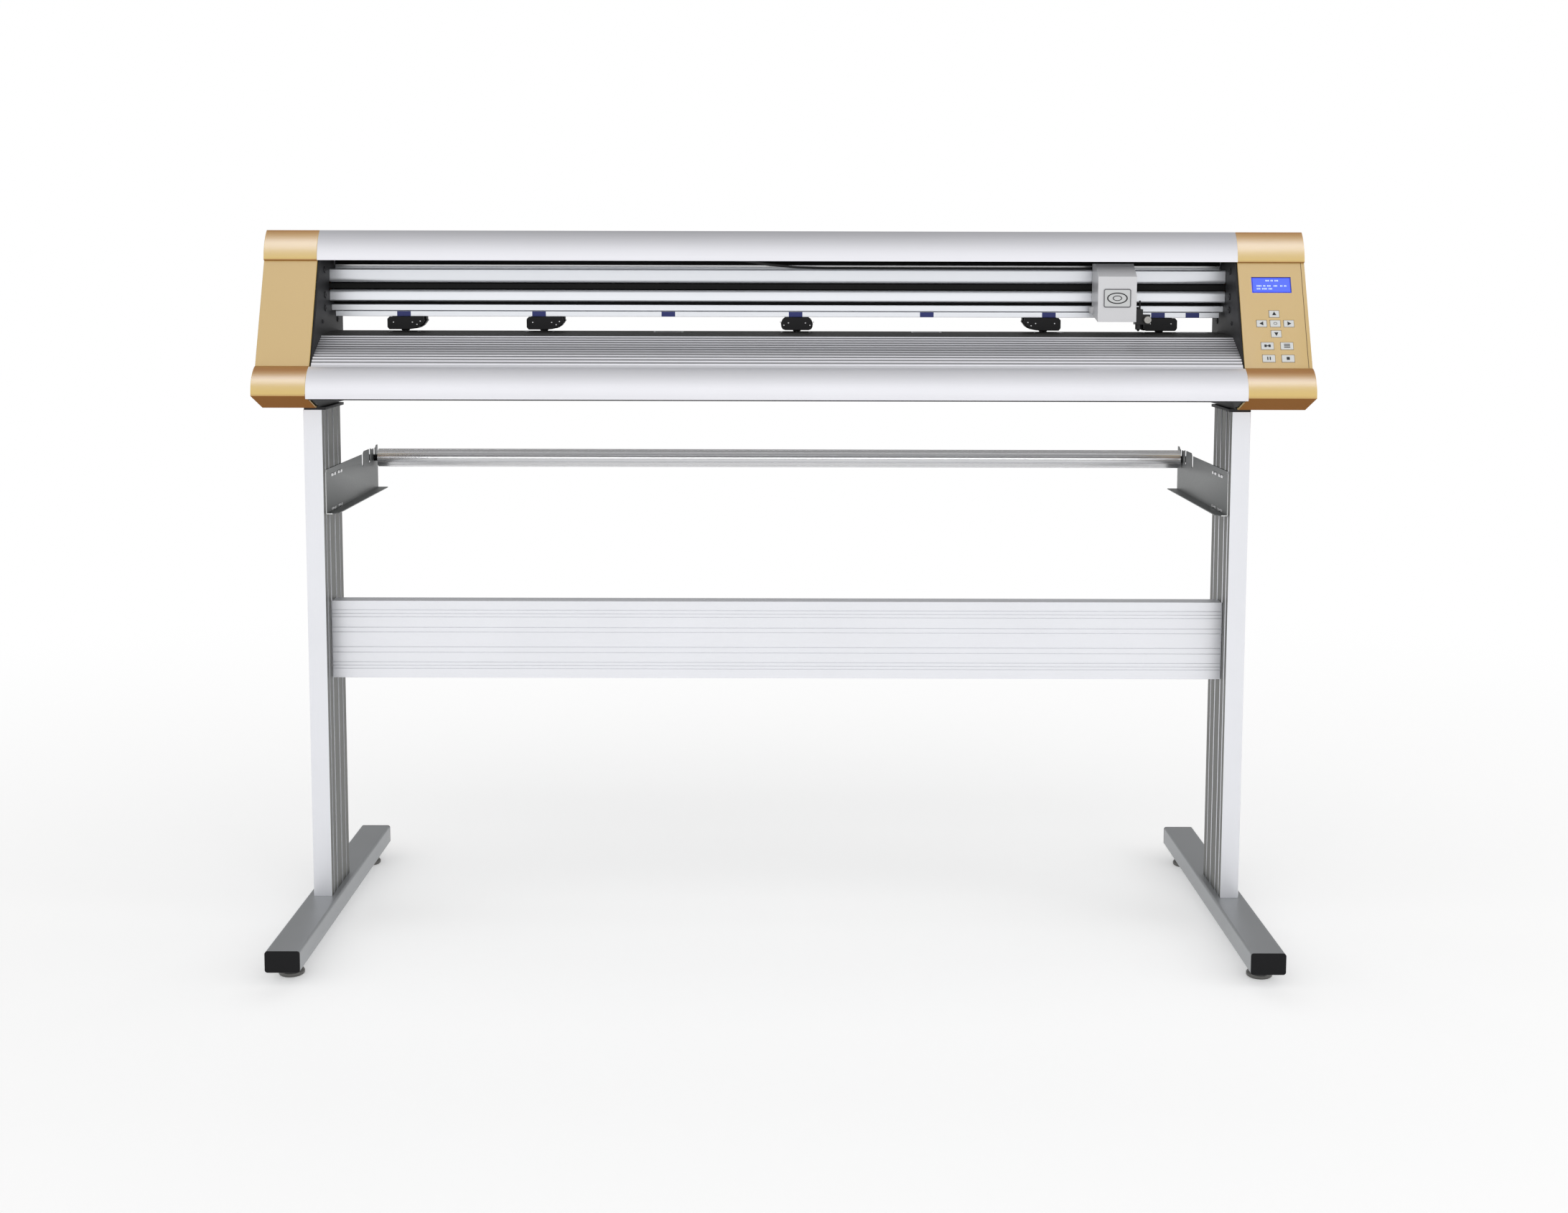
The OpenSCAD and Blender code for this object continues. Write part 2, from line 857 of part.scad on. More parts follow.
// Stepper motor on four standoffs from the left side plate
module feed_motor() {
    face = left_x - 18 - part_gap;
    length = 52;
    color(black) on_body() {
        translate([0, feed_y, grit_z]) along_x(face - length, face) motor_outline();
        for (sy = [-1, 1], sz = [-1, 1]) {
            rod_x(face, left_x, feed_y + sy * 23, grit_z + sz * 23, 3);
        }
    }
}

// ---- Electronics ----

module lcd_display() {
    color([0.15, 0.3, 0.95]) on_body() on_panel(display_at) {
        translate([-display_size.x / 2, -display_size.y / 2, -6]) cube([display_size.x, display_size.y, 5.6]);
        translate([-display_size.x / 2 - 4, -display_size.y / 2 - 4, -10])
            cube([display_size.x + 8, display_size.y + 8, 4]);
    }
}

// Board behind the keys on four standoffs
module control_board() {
    board = [80, 148];
    color([0.1, 0.35, 0.2]) on_body() on_panel([730, 88]) {
        translate([-board.x / 2, -board.y / 2, -24]) cube([board.x, board.y, 2]);
        for (sx = [-1, 1], sy = [-1, 1]) {
            translate([sx * (board.x / 2 - 3), sy * (board.y / 2 - 3), -22])
                cylinder(h = 22 - cap_wall, r = 2.5, $fn = 32);
        }
        for (y = [-50, -20, 12]) translate([-16, y, -34]) cube([32, 18, 10]);
    }
}

// Moulding with the mains socket below and the switch's pocket above
module power_inlet() {
    flange_y = 96;
    color(black) on_body() difference() {
        union() {
            block([inlet_x - 27, flange_y, inlet_z - 25], [inlet_x + 27, flange_y + 2.5, switch_z + 20]);
            block([inlet_x - 22.6, 74, inlet_z - 20.6], [inlet_x + 22.6, flange_y, switch_z + 15.6]);
        }
        block([inlet_x - 14, 78, inlet_z - 10], [inlet_x + 14, 99, inlet_z + 10]);
        block([inlet_x - 8, 80, switch_z - 13], [inlet_x + 8, 99, switch_z + 13]);
        rod_x(inlet_x - 11, inlet_x + 11, 90, switch_z, 1.5 + fit_gap);
    }
    color(steel) on_body()
    for (x = [-6, 0, 6]) {
        block([inlet_x + x - 1, 77, inlet_z - 2], [inlet_x + x + 1, 90, inlet_z + 2]);
    }
}

// Rocker on two short pins, lying at its off side
module power_switch() {
    rock = 9;
    color(black) on_body() translate([0, 90, switch_z]) rotate([rock, 0, 0]) {
        along_x(inlet_x - 7.6, inlet_x + 7.6)
            polygon([[-4, -6], [8, -10.5], [6.5, 0], [8, 10.5], [-4, 6]]);
        rod_x(inlet_x - 10.6, inlet_x + 10.6, 0, 0, 1.5);
    }
}

// Key with a flange behind the panel that keeps it in its hole
module key(at, size) {
    proud = 0.8;
    flange = 1.8;
    color([0.85, 0.85, 0.84]) on_body() on_panel(at) {
        translate([-size.x / 2, -size.y / 2, -5]) cube([size.x, size.y, 5 + proud]);
        translate([-size.x / 2 - flange, -size.y / 2 - flange / 2, -5])
            cube([size.x + 2 * flange, size.y + flange, 5 - cap_wall - part_gap]);
    }
}

module key_up() {
    key(key_up_at, small_key);
}

module key_left() {
    key(key_left_at, small_key);
}

module key_centre() {
    key(key_centre_at, small_key);
}

module key_right() {
    key(key_right_at, small_key);
}

module key_down() {
    key(key_down_at, small_key);
}

module key_online() {
    key(key_online_at, wide_key);
}

module key_menu() {
    key(key_menu_at, wide_key);
}

module key_pause() {
    key(key_pause_at, wide_key);
}

module key_reset() {
    key(key_reset_at, wide_key);
}

left_foot_tube();
right_foot_tube();
foot_plugs();
levelling_foot_1();
levelling_foot_2();
levelling_foot_3();
levelling_foot_4();
left_post();
right_post();
crossbar();
left_roll_bracket();
right_roll_bracket();
media_roller();
stand_fasteners();
left_cap();
right_cap();
left_side_plate();
right_side_plate();
top_cover();
platen();
base_tray();
main_beam();
pinch_bar();
lift_lever();
pinch_holder_1();
pinch_holder_2();
pinch_holder_3();
pinch_holder_4();
pinch_holder_5();
pinch_wheel_1();
pinch_wheel_2();
pinch_wheel_3();
pinch_wheel_4();
pinch_wheel_5();
drive_belt();
drive_pulley();
idler_pulley();
carriage_motor();
carriage_plate();
carriage_housing();
tool_arm();
blade_holder();
clamp_knob();
head_cable();
grit_shaft();
shaft_coupler();
feed_motor();
lcd_display();
control_board();
power_inlet();
power_switch();
key_up();
key_left();
key_centre();
key_right();
key_down();
key_online();
key_menu();
key_pause();
key_reset();
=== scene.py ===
# Visual model of a floor-standing vinyl cutter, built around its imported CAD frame.
import json
import math

import bmesh
import bpy
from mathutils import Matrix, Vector


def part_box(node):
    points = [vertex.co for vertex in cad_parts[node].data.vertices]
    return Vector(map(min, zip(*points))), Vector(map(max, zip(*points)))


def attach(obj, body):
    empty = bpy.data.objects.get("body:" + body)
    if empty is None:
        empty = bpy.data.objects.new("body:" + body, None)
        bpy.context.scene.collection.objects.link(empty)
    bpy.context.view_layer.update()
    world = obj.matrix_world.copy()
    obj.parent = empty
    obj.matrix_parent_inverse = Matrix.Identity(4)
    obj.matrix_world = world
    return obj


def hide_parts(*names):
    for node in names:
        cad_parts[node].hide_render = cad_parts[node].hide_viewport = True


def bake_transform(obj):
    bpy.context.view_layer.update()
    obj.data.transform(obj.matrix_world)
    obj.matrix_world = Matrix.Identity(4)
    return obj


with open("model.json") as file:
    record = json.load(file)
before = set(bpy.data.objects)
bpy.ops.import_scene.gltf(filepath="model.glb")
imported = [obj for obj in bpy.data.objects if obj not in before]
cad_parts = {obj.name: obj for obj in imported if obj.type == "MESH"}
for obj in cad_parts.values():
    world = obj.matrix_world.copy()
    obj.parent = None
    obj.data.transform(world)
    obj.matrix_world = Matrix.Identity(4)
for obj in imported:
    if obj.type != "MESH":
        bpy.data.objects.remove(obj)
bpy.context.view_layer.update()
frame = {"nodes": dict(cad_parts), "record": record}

MM = 0.001
RECORD = frame["record"]
BODY_OF = {node: body for body, nodes in RECORD["behaviour"]["bodies"].items() for node in nodes}
SLOT_OF = {part["node"]: part["material_slot"] for part in RECORD["subparts"]}
X_AXIS = Vector((1, 0, 0))
Y_AXIS = Vector((0, 1, 0))
Z_AXIS = Vector((0, 0, 1))
EDGE_ANGLE = math.radians(32)  # sharper corners than this stay sharp in shading, and are bevelled


# ---- Shader nodes ----

# Sockets of a colour Mix node, whose names repeat.
MIX_FACTOR, MIX_A, MIX_B, MIX_RESULT = 0, 6, 7, 2


def new_node(tree, kind, settings=None, values=None, links=None):
    """Adds a shader node with its settings, the values of some inputs and the sockets that feed others."""
    node = tree.nodes.new("ShaderNode" + kind)
    for name, value in (settings or {}).items():
        setattr(node, name, value)
    for name, value in (values or {}).items():
        node.inputs[name].default_value = value
    for name, socket in (links or {}).items():
        tree.links.new(socket, node.inputs[name])
    return node


def set_ramp(node, stops):
    """Grey stops of a colour ramp, as (position, brightness)."""
    ramp = node.color_ramp
    while len(ramp.elements) > 1:
        ramp.elements.remove(ramp.elements[-1])
    ramp.elements[0].position = stops[0][0]
    ramp.elements[0].color = (stops[0][1],) * 3 + (1,)
    for position, value in stops[1:]:
        ramp.elements.new(position).color = (value,) * 3 + (1,)


# ---- Camera, floor and light ----

def make_camera():
    """The photograph's own view, from a pinhole camera fitted to the object's straight edges."""
    data = bpy.data.cameras.new("camera")
    data.lens = 44.505
    data.sensor_width = 36
    data.sensor_fit = "HORIZONTAL"
    data.shift_y = -0.0871
    camera = bpy.data.objects.new("camera", data)
    camera.location = (0, -2.9809, 1.0051)
    tilt_down, roll = 5.72, -0.13
    camera.rotation_euler = (math.radians(90 - tilt_down), math.radians(roll), 0)
    bpy.context.scene.collection.objects.link(camera)
    bpy.context.scene.camera = camera


def area_light(name, place, target, size, power, colour=(1, 1, 1), glossy=False):
    """A rectangular light at place that faces target."""
    data = bpy.data.lights.new(name, "AREA")
    data.shape = "RECTANGLE"
    data.size, data.size_y = size
    data.energy = power
    data.color = colour
    light = bpy.data.objects.new(name, data)
    light.location = place
    light.rotation_euler = (Vector(target) - Vector(place)).to_track_quat("-Z", "Y").to_euler()
    light.visible_glossy = glossy
    bpy.context.scene.collection.objects.link(light)
    return light


def gloss_light(name, place, target, size, power, colour, group, pieces):
    """An area light that shows only as gloss, and only on the given pieces."""
    strip = area_light(name, place, target, size, power, colour, glossy=True)
    strip.visible_diffuse = False
    receivers = bpy.data.collections.new(group)
    for piece in pieces:
        receivers.objects.link(piece)
    strip.light_linking.receiver_collection = receivers


def make_world():
    """White to the camera; for light and reflections, bright in front and low, grey overhead and behind."""
    brightness_by_height = [(0.0, 0.9), (0.5, 1.0), (0.71, 0.92), (0.82, 0.80), (0.91, 0.64), (0.98, 0.48),
                            (1.0, 0.38)]
    world = bpy.data.worlds.new("studio")
    bpy.context.scene.world = world
    world.use_nodes = True
    tree = world.node_tree
    tree.nodes.clear()
    coords = new_node(tree, "TexCoord")
    split = new_node(tree, "SeparateXYZ", links={0: coords.outputs["Generated"]})
    lift = new_node(tree, "MapRange", values={"From Min": -1}, links={"Value": split.outputs["Z"]})
    height = new_node(tree, "ValToRGB", links={"Fac": lift.outputs["Result"]})
    set_ramp(height, brightness_by_height)
    back = new_node(tree, "MapRange", links={"Value": split.outputs["Y"]},
                    values={"From Min": -0.1, "From Max": 0.7, "To Min": 1.0, "To Max": 0.4})
    light = new_node(tree, "VectorMath", {"operation": "SCALE"},
                     links={0: height.outputs["Color"], "Scale": back.outputs["Result"]})
    glow = new_node(tree, "Background", values={"Strength": 1.15}, links={"Color": light.outputs["Vector"]})
    paper = new_node(tree, "Background", values={"Color": (1, 1, 1, 1)})
    path = new_node(tree, "LightPath")
    mix = new_node(tree, "MixShader",
                   links={"Fac": path.outputs["Is Camera Ray"], 1: glow.outputs[0], 2: paper.outputs[0]})
    new_node(tree, "OutputWorld", links={"Surface": mix.outputs[0]})


def make_floor():
    """White floor that takes a soft shadow near the object and fades into the white backdrop."""
    mat = bpy.data.materials.new("studio_floor")
    mat.use_nodes = True
    tree = mat.node_tree
    shader = tree.nodes["Principled BSDF"]
    shader.inputs["Base Color"].default_value = (0.93, 0.93, 0.93, 1)
    shader.inputs["Roughness"].default_value = 0.9
    shader.inputs["Emission Color"].default_value = (1, 1, 1, 1)
    shader.inputs["Emission Strength"].default_value = 0.24
    coords = new_node(tree, "TexCoord")
    reach = new_node(tree, "VectorMath", {"operation": "LENGTH"}, links={0: coords.outputs["Object"]})
    fade = new_node(tree, "MapRange", {"interpolation_type": "SMOOTHSTEP"},
                    {"From Min": 0.8, "From Max": 3.2}, {"Value": reach.outputs["Value"]})
    paper = new_node(tree, "Emission")
    blend = new_node(tree, "MixShader",
                     links={"Fac": fade.outputs["Result"], 1: shader.outputs[0], 2: paper.outputs[0]})
    tree.links.new(blend.outputs[0], tree.nodes["Material Output"].inputs["Surface"])
    mesh = bpy.data.meshes.new("floor")
    bm = bmesh.new()
    bmesh.ops.create_circle(bm, cap_ends=True, segments=96, radius=40)
    bm.to_mesh(mesh)
    bm.free()
    mesh.materials.append(mat)
    floor = bpy.data.objects.new("floor", mesh)
    bpy.context.scene.collection.objects.link(floor)


def make_studio():
    """Camera, backdrop and the three soft boxes."""
    bpy.context.scene.view_settings.view_transform = "Standard"
    make_camera()
    make_world()
    make_floor()
    area_light("front_box", (0, -3.4, 2.3), (0, 0, 0.75), (3.4, 1.2), 16)
    area_light("right_fill", (3.2, -1.2, 1.3), (0, 0, 0.8), (1.2, 1.8), 7)
    area_light("rear_fill", (0, 3.2, 2.2), (0, 0, 0.8), (3, 1.2), 14)


# ---- Materials ----

# Grain scales of brushed or drawn metal: long along one axis and fine across it.
ALONG_X = (14, 1600, 1600)
ALONG_Z = (1600, 1600, 14)
SHALLOW = 0.00005  # relief depth of anodised metal, in metres


def shade(colour, factor):
    """A colour made lighter or darker, with its alpha."""
    return tuple(min(1.0, c * factor) for c in colour[:3]) + (1,)


def over(tree, base, mask, window, colour, amount):
    """Lays a colour over base where mask goes from window[1] to window[0]."""
    sharp = new_node(tree, "MapRange", links={"Value": mask},
                     values={"From Min": window[1], "From Max": window[0], "To Max": amount})
    mix = new_node(tree, "Mix", {"data_type": "RGBA"}, {MIX_B: colour},
                   {MIX_FACTOR: sharp.outputs["Result"], MIX_A: base})
    return mix.outputs[MIX_RESULT]


def material(name, colour, rough, metallic=0.0, grain=900, bump=0.1, depth=0.0002, tint=0.05, spread=0.06,
             wear=0.0, coat=0.0, cloud=9, flecks=0.0, gloss=0.5):
    """A surface with fine grain in colour, roughness and relief, broad haze, and optional flecks and wear."""
    mat = bpy.data.materials.new(name)
    mat.use_nodes = True
    tree = mat.node_tree
    shader = tree.nodes["Principled BSDF"]
    shader.inputs["Metallic"].default_value = metallic
    shader.inputs["Specular IOR Level"].default_value = gloss
    shader.inputs["Coat Weight"].default_value = coat
    shader.inputs["Coat Roughness"].default_value = 0.36
    place = new_node(tree, "TexCoord").outputs["Object"]
    scale = grain if isinstance(grain, tuple) else (grain,) * 3
    stretch = new_node(tree, "Mapping", values={"Scale": scale}, links={"Vector": place})
    fine = new_node(tree, "TexNoise", values={"Scale": 1.0, "Detail": 3.0},
                    links={"Vector": stretch.outputs["Vector"]}).outputs["Fac"]
    broad = new_node(tree, "TexNoise", values={"Scale": cloud, "Detail": 4.0}, links={"Vector": place})
    mottle = new_node(tree, "Mix", {"data_type": "RGBA"},
                      {MIX_A: shade(colour, 1 - tint), MIX_B: shade(colour, 1 + tint)}, {MIX_FACTOR: fine})
    haze = new_node(tree, "ValToRGB", links={"Fac": broad.outputs["Fac"]})
    set_ramp(haze, [(0.3, 1 - tint), (0.7, 1.0)])
    stain = new_node(tree, "Mix", {"data_type": "RGBA", "blend_type": "MULTIPLY"}, {MIX_FACTOR: 1.0},
                     {MIX_A: mottle.outputs[MIX_RESULT], MIX_B: haze.outputs["Color"]})
    paint = stain.outputs[MIX_RESULT]
    if flecks:
        lighter, near_spot = shade(colour, 1.35), (0.0, 0.25)
        spots = new_node(tree, "TexVoronoi", values={"Scale": 1500}, links={"Vector": place})
        paint = over(tree, paint, spots.outputs["Distance"], near_spot, lighter, flecks)
    if wear:
        bare, on_edge = shade(colour, 1.9), (0.56, 0.50)
        geometry = new_node(tree, "NewGeometry")
        paint = over(tree, paint, geometry.outputs["Pointiness"], on_edge, bare, wear)
    tree.links.new(paint, shader.inputs["Base Color"])
    polish = new_node(tree, "MapRange", links={"Value": fine},
                      values={"To Min": max(0.02, rough - spread), "To Max": min(1.0, rough + spread)})
    tree.links.new(polish.outputs["Result"], shader.inputs["Roughness"])
    relief = new_node(tree, "Bump", values={"Strength": bump, "Distance": depth}, links={"Height": fine})
    tree.links.new(relief.outputs["Normal"], shader.inputs["Normal"])
    return mat


def paint_gold_shade(mat):
    """Paints shade into the gold: copper where a face looks up and brown where it looks down."""
    top_painted_shade, upward = (0.35, 0.155, 0.024, 1), (0.80, 0.46)
    under_painted_shade, downward = (0.30, 0.115, 0.022, 1), (-0.13, 0.01)
    tree = mat.node_tree
    base = tree.nodes["Principled BSDF"].inputs["Base Color"]
    coords = new_node(tree, "TexCoord")
    facing_up = new_node(tree, "SeparateXYZ", links={0: coords.outputs["Normal"]}).outputs["Z"]
    top_shaded = over(tree, base.links[0].from_socket, facing_up, upward, top_painted_shade, 1.0)
    tree.links.new(over(tree, top_shaded, facing_up, downward, under_painted_shade, 0.9), base)


def glowing(name, colour, strength, pitch):
    """A lit display: a dot matrix of slightly darker gaps in an even glow."""
    mat = material(name, colour, 0.2, coat=0.6, grain=300, tint=0.03)
    tree = mat.node_tree
    shader = tree.nodes["Principled BSDF"]
    coords = new_node(tree, "TexCoord")
    dots = new_node(tree, "TexChecker", links={"Vector": coords.outputs["Object"]},
                    values={"Scale": 1 / pitch, "Color1": shade(colour, 1.0), "Color2": shade(colour, 0.86)})
    tree.links.new(dots.outputs["Color"], shader.inputs["Emission Color"])
    shader.inputs["Emission Strength"].default_value = strength
    return mat


# The look of each material slot.
LOOKS = {
    "foot_grey": material("grey_enamel", (0.30, 0.31, 0.32), 0.42, 0.55, 1300, 0.14, tint=0.08, wear=0.25,
                          flecks=0.25),
    "plug_black": material("plug_plastic", (0.004, 0.004, 0.005), 0.36, 0.0, 700, 0.2, tint=0.2, gloss=0.2),
    "pad_steel": material("pad_zinc", (0.13, 0.128, 0.122), 0.30, 0.9, 600, 0.12, wear=0.5),
    "post_silver": material("post_anodised", (0.78, 0.79, 0.83), 0.40, 0.85, ALONG_Z, 0.04, SHALLOW,
                            tint=0.03, wear=0.1),
    "crossbar_silver": material("crossbar_anodised", (0.80, 0.81, 0.85), 0.42, 0.8, ALONG_X, 0.04, SHALLOW,
                                tint=0.03, wear=0.1),
    "bracket_grey": material("bracket_galvanised", (0.115, 0.12, 0.12), 0.44, 0.6, 350, 0.1, tint=0.14,
                             wear=0.5),
    "roller_aluminium": material("roller_extrusion", (0.68, 0.68, 0.69), 0.26, 0.95, ALONG_X, 0.004, SHALLOW,
                                 tint=0.02, spread=0.01),
    "bolt_steel": material("bolt_zinc", (0.74, 0.74, 0.75), 0.30, 0.9, wear=0.3),
    "cap_gold": material("gold_paint", (0.58, 0.405, 0.13), 0.55, 0.0, 1400, 0.03, tint=0.03, wear=0.12,
                         coat=0.7, cloud=5, flecks=0.14, gloss=0.2),
    "plate_black": material("plate_powder_coat", (0.022, 0.022, 0.024), 0.55, 0.0, 1500, 0.4, tint=0.2,
                            wear=0.2, gloss=0.3),
    "cover_silver": material("cover_anodised", (0.80, 0.80, 0.84), 0.33, 0.92, ALONG_X, 0.015, SHALLOW,
                             tint=0.015, spread=0.02),
    "platen_silver": material("platen_anodised", (0.80, 0.80, 0.84), 0.36, 0.55, ALONG_X, 0.015, SHALLOW,
                              tint=0.02, spread=0.02),
    "tray_black": material("tray_powder_coat", (0.03, 0.03, 0.032), 0.55, 0.1, 1500, 0.4, tint=0.2),
    "beam_silver": material("beam_anodised", (0.86, 0.88, 0.92), 0.36, 0.75, ALONG_X, 0.015, SHALLOW,
                            tint=0.015, spread=0.02),
    "lever_steel": material("lever_steel", (0.30, 0.30, 0.31), 0.34, 0.9, ALONG_X, 0.12, tint=0.08,
                            wear=0.2),
    "holder_black": material("holder_plastic", (0.005, 0.005, 0.006), 0.46, 0.0, 1100, 0.3, tint=0.2,
                             wear=0.1, gloss=0.25),
    "wheel_rubber": material("wheel_rubber", (0.02, 0.019, 0.018), 0.75, 0.0, 1800, 0.5, tint=0.25),
    "belt_rubber": material("belt_rubber", (0.014, 0.014, 0.014), 0.7, 0.0, (500, 20, 20), 0.8, 0.0003,
                            tint=0.2, gloss=0.1),
    "pulley_steel": material("pulley_aluminium", (0.6, 0.6, 0.61), 0.3, 1.0, (60, 60, 1500), 0.15),
    "motor_black": material("motor_enamel", (0.02, 0.02, 0.022), 0.4, 0.2, 1200, 0.2, tint=0.2),
    "carriage_steel": material("carriage_steel", (0.55, 0.55, 0.57), 0.32, 0.95, ALONG_Z, 0.12, tint=0.06),
    "housing_grey": material("housing_plastic", (0.60, 0.60, 0.615), 0.38, 0.08, 1500, 0.22, tint=0.03,
                             coat=0.1, flecks=0.1),
    "arm_black": material("arm_anodised", (0.013, 0.013, 0.014), 0.38, 0.4, ALONG_Z, 0.15, tint=0.2,
                          wear=0.15),
    "knob_steel": material("knob_nickel", (0.40, 0.39, 0.37), 0.36, 0.8, tint=0.08),
    "cable_black": material("cable_jacket", (0.012, 0.012, 0.013), 0.5, 0.0, (20, 2600, 20), 0.6, 0.0004,
                            tint=0.3),
    "shaft_steel": material("shaft_steel", (0.45, 0.45, 0.47), 0.3, 1.0, 2200, 0.6, 0.0003, tint=0.15),
    "coupler_aluminium": material("coupler_aluminium", (0.7, 0.7, 0.72), 0.32, 1.0, ALONG_X),
    "display_blue": glowing("display_backlight", (0.045, 0.085, 0.85), 0.85, 0.0012),
    "board_green": material("board_resist", (0.02, 0.12, 0.05), 0.35, 0.0, 500, 0.3, tint=0.3, coat=0.4),
    "inlet_black": material("inlet_plastic", (0.015, 0.015, 0.016), 0.36, bump=0.2, tint=0.2),
    "key_grey": material("key_plastic", (0.62, 0.63, 0.62), 0.42, 0.0, 1300, 0.2, tint=0.04),
}
# Painted shade on the caps' gold: copper on faces that look up, brown on faces that look down.
paint_gold_shade(LOOKS["cap_gold"])

# Looks that only some faces or details have.
PANEL_GOLD = material("panel_film", (0.56, 0.395, 0.155), 0.55, 0.0, 1100, 0.12, tint=0.02, cloud=4,
                      flecks=0.08, gloss=0.2)
# Painted shade: dark brown for the caps' undersides.
UNDER_PAINTED_SHADE = material("cap_under_painted_shade", (0.25, 0.10, 0.018), 0.7, 0.0, 1100, 0.12, tint=0.05, cloud=4,
                       gloss=0.05)
# Painted shade: copper brown for the caps' flat tops.
TOP_PAINTED_SHADE = material("cap_top_painted_shade", (0.40, 0.215, 0.065), 0.55, 0.0, 1100, 0.12, tint=0.04, cloud=4,
                      flecks=0.08, gloss=0.15)
EMBLEM_METAL = material("emblem_metal", (0.56, 0.57, 0.57), 0.32, 0.5, ALONG_X, 0.05, SHALLOW, tint=0.05)
# Painted shade: darker grey for the platen's groove floors.
GROOVE_PAINTED_SHADE = material("platen_groove_painted_shade", (0.42, 0.42, 0.44), 0.45, 0.7, ALONG_X, 0.04, SHALLOW, tint=0.05)
# Painted shadow: near-black for the platen's flat rear deck under the beam.
DECK_PAINTED_SHADOW = material("platen_deck_painted_shadow", (0.05, 0.05, 0.048), 0.6, 0.0, 700, 0.3, tint=0.2, gloss=0.2)
# Black for the rubber gasket, and as painted shade in the beam's belt slot and on its set-back wall.
GASKET_AND_PAINTED_SHADE = material("trough_gasket_and_painted_shade", (0.012, 0.012, 0.012), 0.8, 0.0, (400, 900, 900), 0.3, gloss=0.1)
INK = material("printed_ink", (0.015, 0.015, 0.016), 0.55, 0.0, 2500, 0.2, tint=0.25)
# Painted shade: a dark copy of the post metal for the posts' inner sides.
POST_INNER_PAINTED_SHADE = material("post_channel_painted_shade", (0.12, 0.122, 0.115), 0.45, 0.6, ALONG_Z, 0.05, SHALLOW, tint=0.12)
BLUE_FILM = material("blue_marker_film", (0.012, 0.022, 0.16), 0.45, bump=0.15, tint=0.1)
LIT_DOTS = glowing("display_dots", (0.42, 0.52, 1.0), 0.75, 0.0009)
BEZEL_BLUE = material("bezel_blue", (0.03, 0.055, 0.5), 0.3, tint=0.1)
SEAM_BROWN = material("seam_shadow", (0.12, 0.07, 0.025), 0.6, tint=0.1)
FRAME_GREY = material("emblem_frame_metal", (0.16, 0.16, 0.17), 0.3, 0.9, bump=0.05, tint=0.1, wear=0.3)
CUT_EDGE = material("sheared_edge", (0.86, 0.87, 0.87), 0.5, bump=0.15, tint=0.06)
STEEL = LOOKS["bolt_steel"]
BLACK = LOOKS["plate_black"]


# ---- Making pieces ----

def add_piece(name, bm, body, look, stands_for=()):
    """Turns a bmesh into a piece that rides on a body, and may stand for CAD nodes."""
    mesh = bpy.data.meshes.new(name)
    bmesh.ops.recalc_face_normals(bm, faces=bm.faces)
    bm.to_mesh(mesh)
    bm.free()
    for face in mesh.polygons:
        face.use_smooth = True
    mesh.set_sharp_from_angle(angle=EDGE_ANGLE)
    mesh.materials.append(look)
    piece = bpy.data.objects.new(name, mesh)
    bpy.context.scene.collection.objects.link(piece)
    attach(piece, body)
    if stands_for:
        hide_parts(*stands_for)
    return piece


def soften(piece, width, segments=2):
    """Rounds the sharp edges of a piece."""
    bevel = piece.modifiers.new("edges", "BEVEL")
    bevel.width = width
    bevel.segments = segments
    bevel.limit_method = "ANGLE"
    bevel.angle_limit = EDGE_ANGLE
    bevel.use_clamp_overlap = True


def cad_copy(node):
    """The node's own shape with its flat faces merged."""
    same_point, flat_angle = 2e-6, math.radians(0.3)
    bm = bmesh.new()
    bm.from_mesh(frame["nodes"][node].data)
    bmesh.ops.remove_doubles(bm, verts=bm.verts, dist=same_point)
    bmesh.ops.dissolve_limit(bm, angle_limit=flat_angle, verts=bm.verts, edges=bm.edges)
    return bm


def refine(node, width, segments=2):
    """Stands a softly edged copy in for a CAD node."""
    slot = SLOT_OF[node]
    piece = add_piece(node + "_finished", cad_copy(node), BODY_OF[node], LOOKS[slot], [node])
    soften(piece, width, segments)
    return piece


def repaint(piece, look, chosen):
    """Gives another material to the faces of a piece that chosen(face) picks."""
    piece.data.materials.append(look)
    index = len(piece.data.materials) - 1
    for face in piece.data.polygons:
        if chosen(face):
            face.material_index = index


def block(bm, low, high):
    """A box between two corners."""
    low, high = Vector(low), Vector(high)
    made = bmesh.ops.create_cube(bm, size=1)["verts"]
    bmesh.ops.scale(bm, vec=high - low, verts=made)
    bmesh.ops.translate(bm, vec=(low + high) / 2, verts=made)


def turned(bm, profile, place, axis, steps):
    """Revolves [radius, distance along the axis] points round an axis from place."""
    turn = axis.to_track_quat("Z", "Y").to_matrix()
    rings = []
    for r, h in profile:
        ring = []
        for i in range(steps):
            a = 2 * math.pi * i / steps
            ring.append(bm.verts.new(Vector(place) + turn @ Vector((r * math.cos(a), r * math.sin(a), h))))
        rings.append(ring)
    skin(bm, rings)


def swept(bm, path, radius, sides):
    """Round tube along a path of points."""
    rings = []
    for i, point in enumerate(path):
        ahead = (path[min(i + 1, len(path) - 1)] - path[max(i - 1, 0)]).normalized()
        side = ahead.cross(Z_AXIS).normalized()
        up = side.cross(ahead)
        turns = [2 * math.pi * k / sides for k in range(sides)]
        rings.append([bm.verts.new(point + radius * (math.cos(a) * side + math.sin(a) * up)) for a in turns])
    skin(bm, rings)


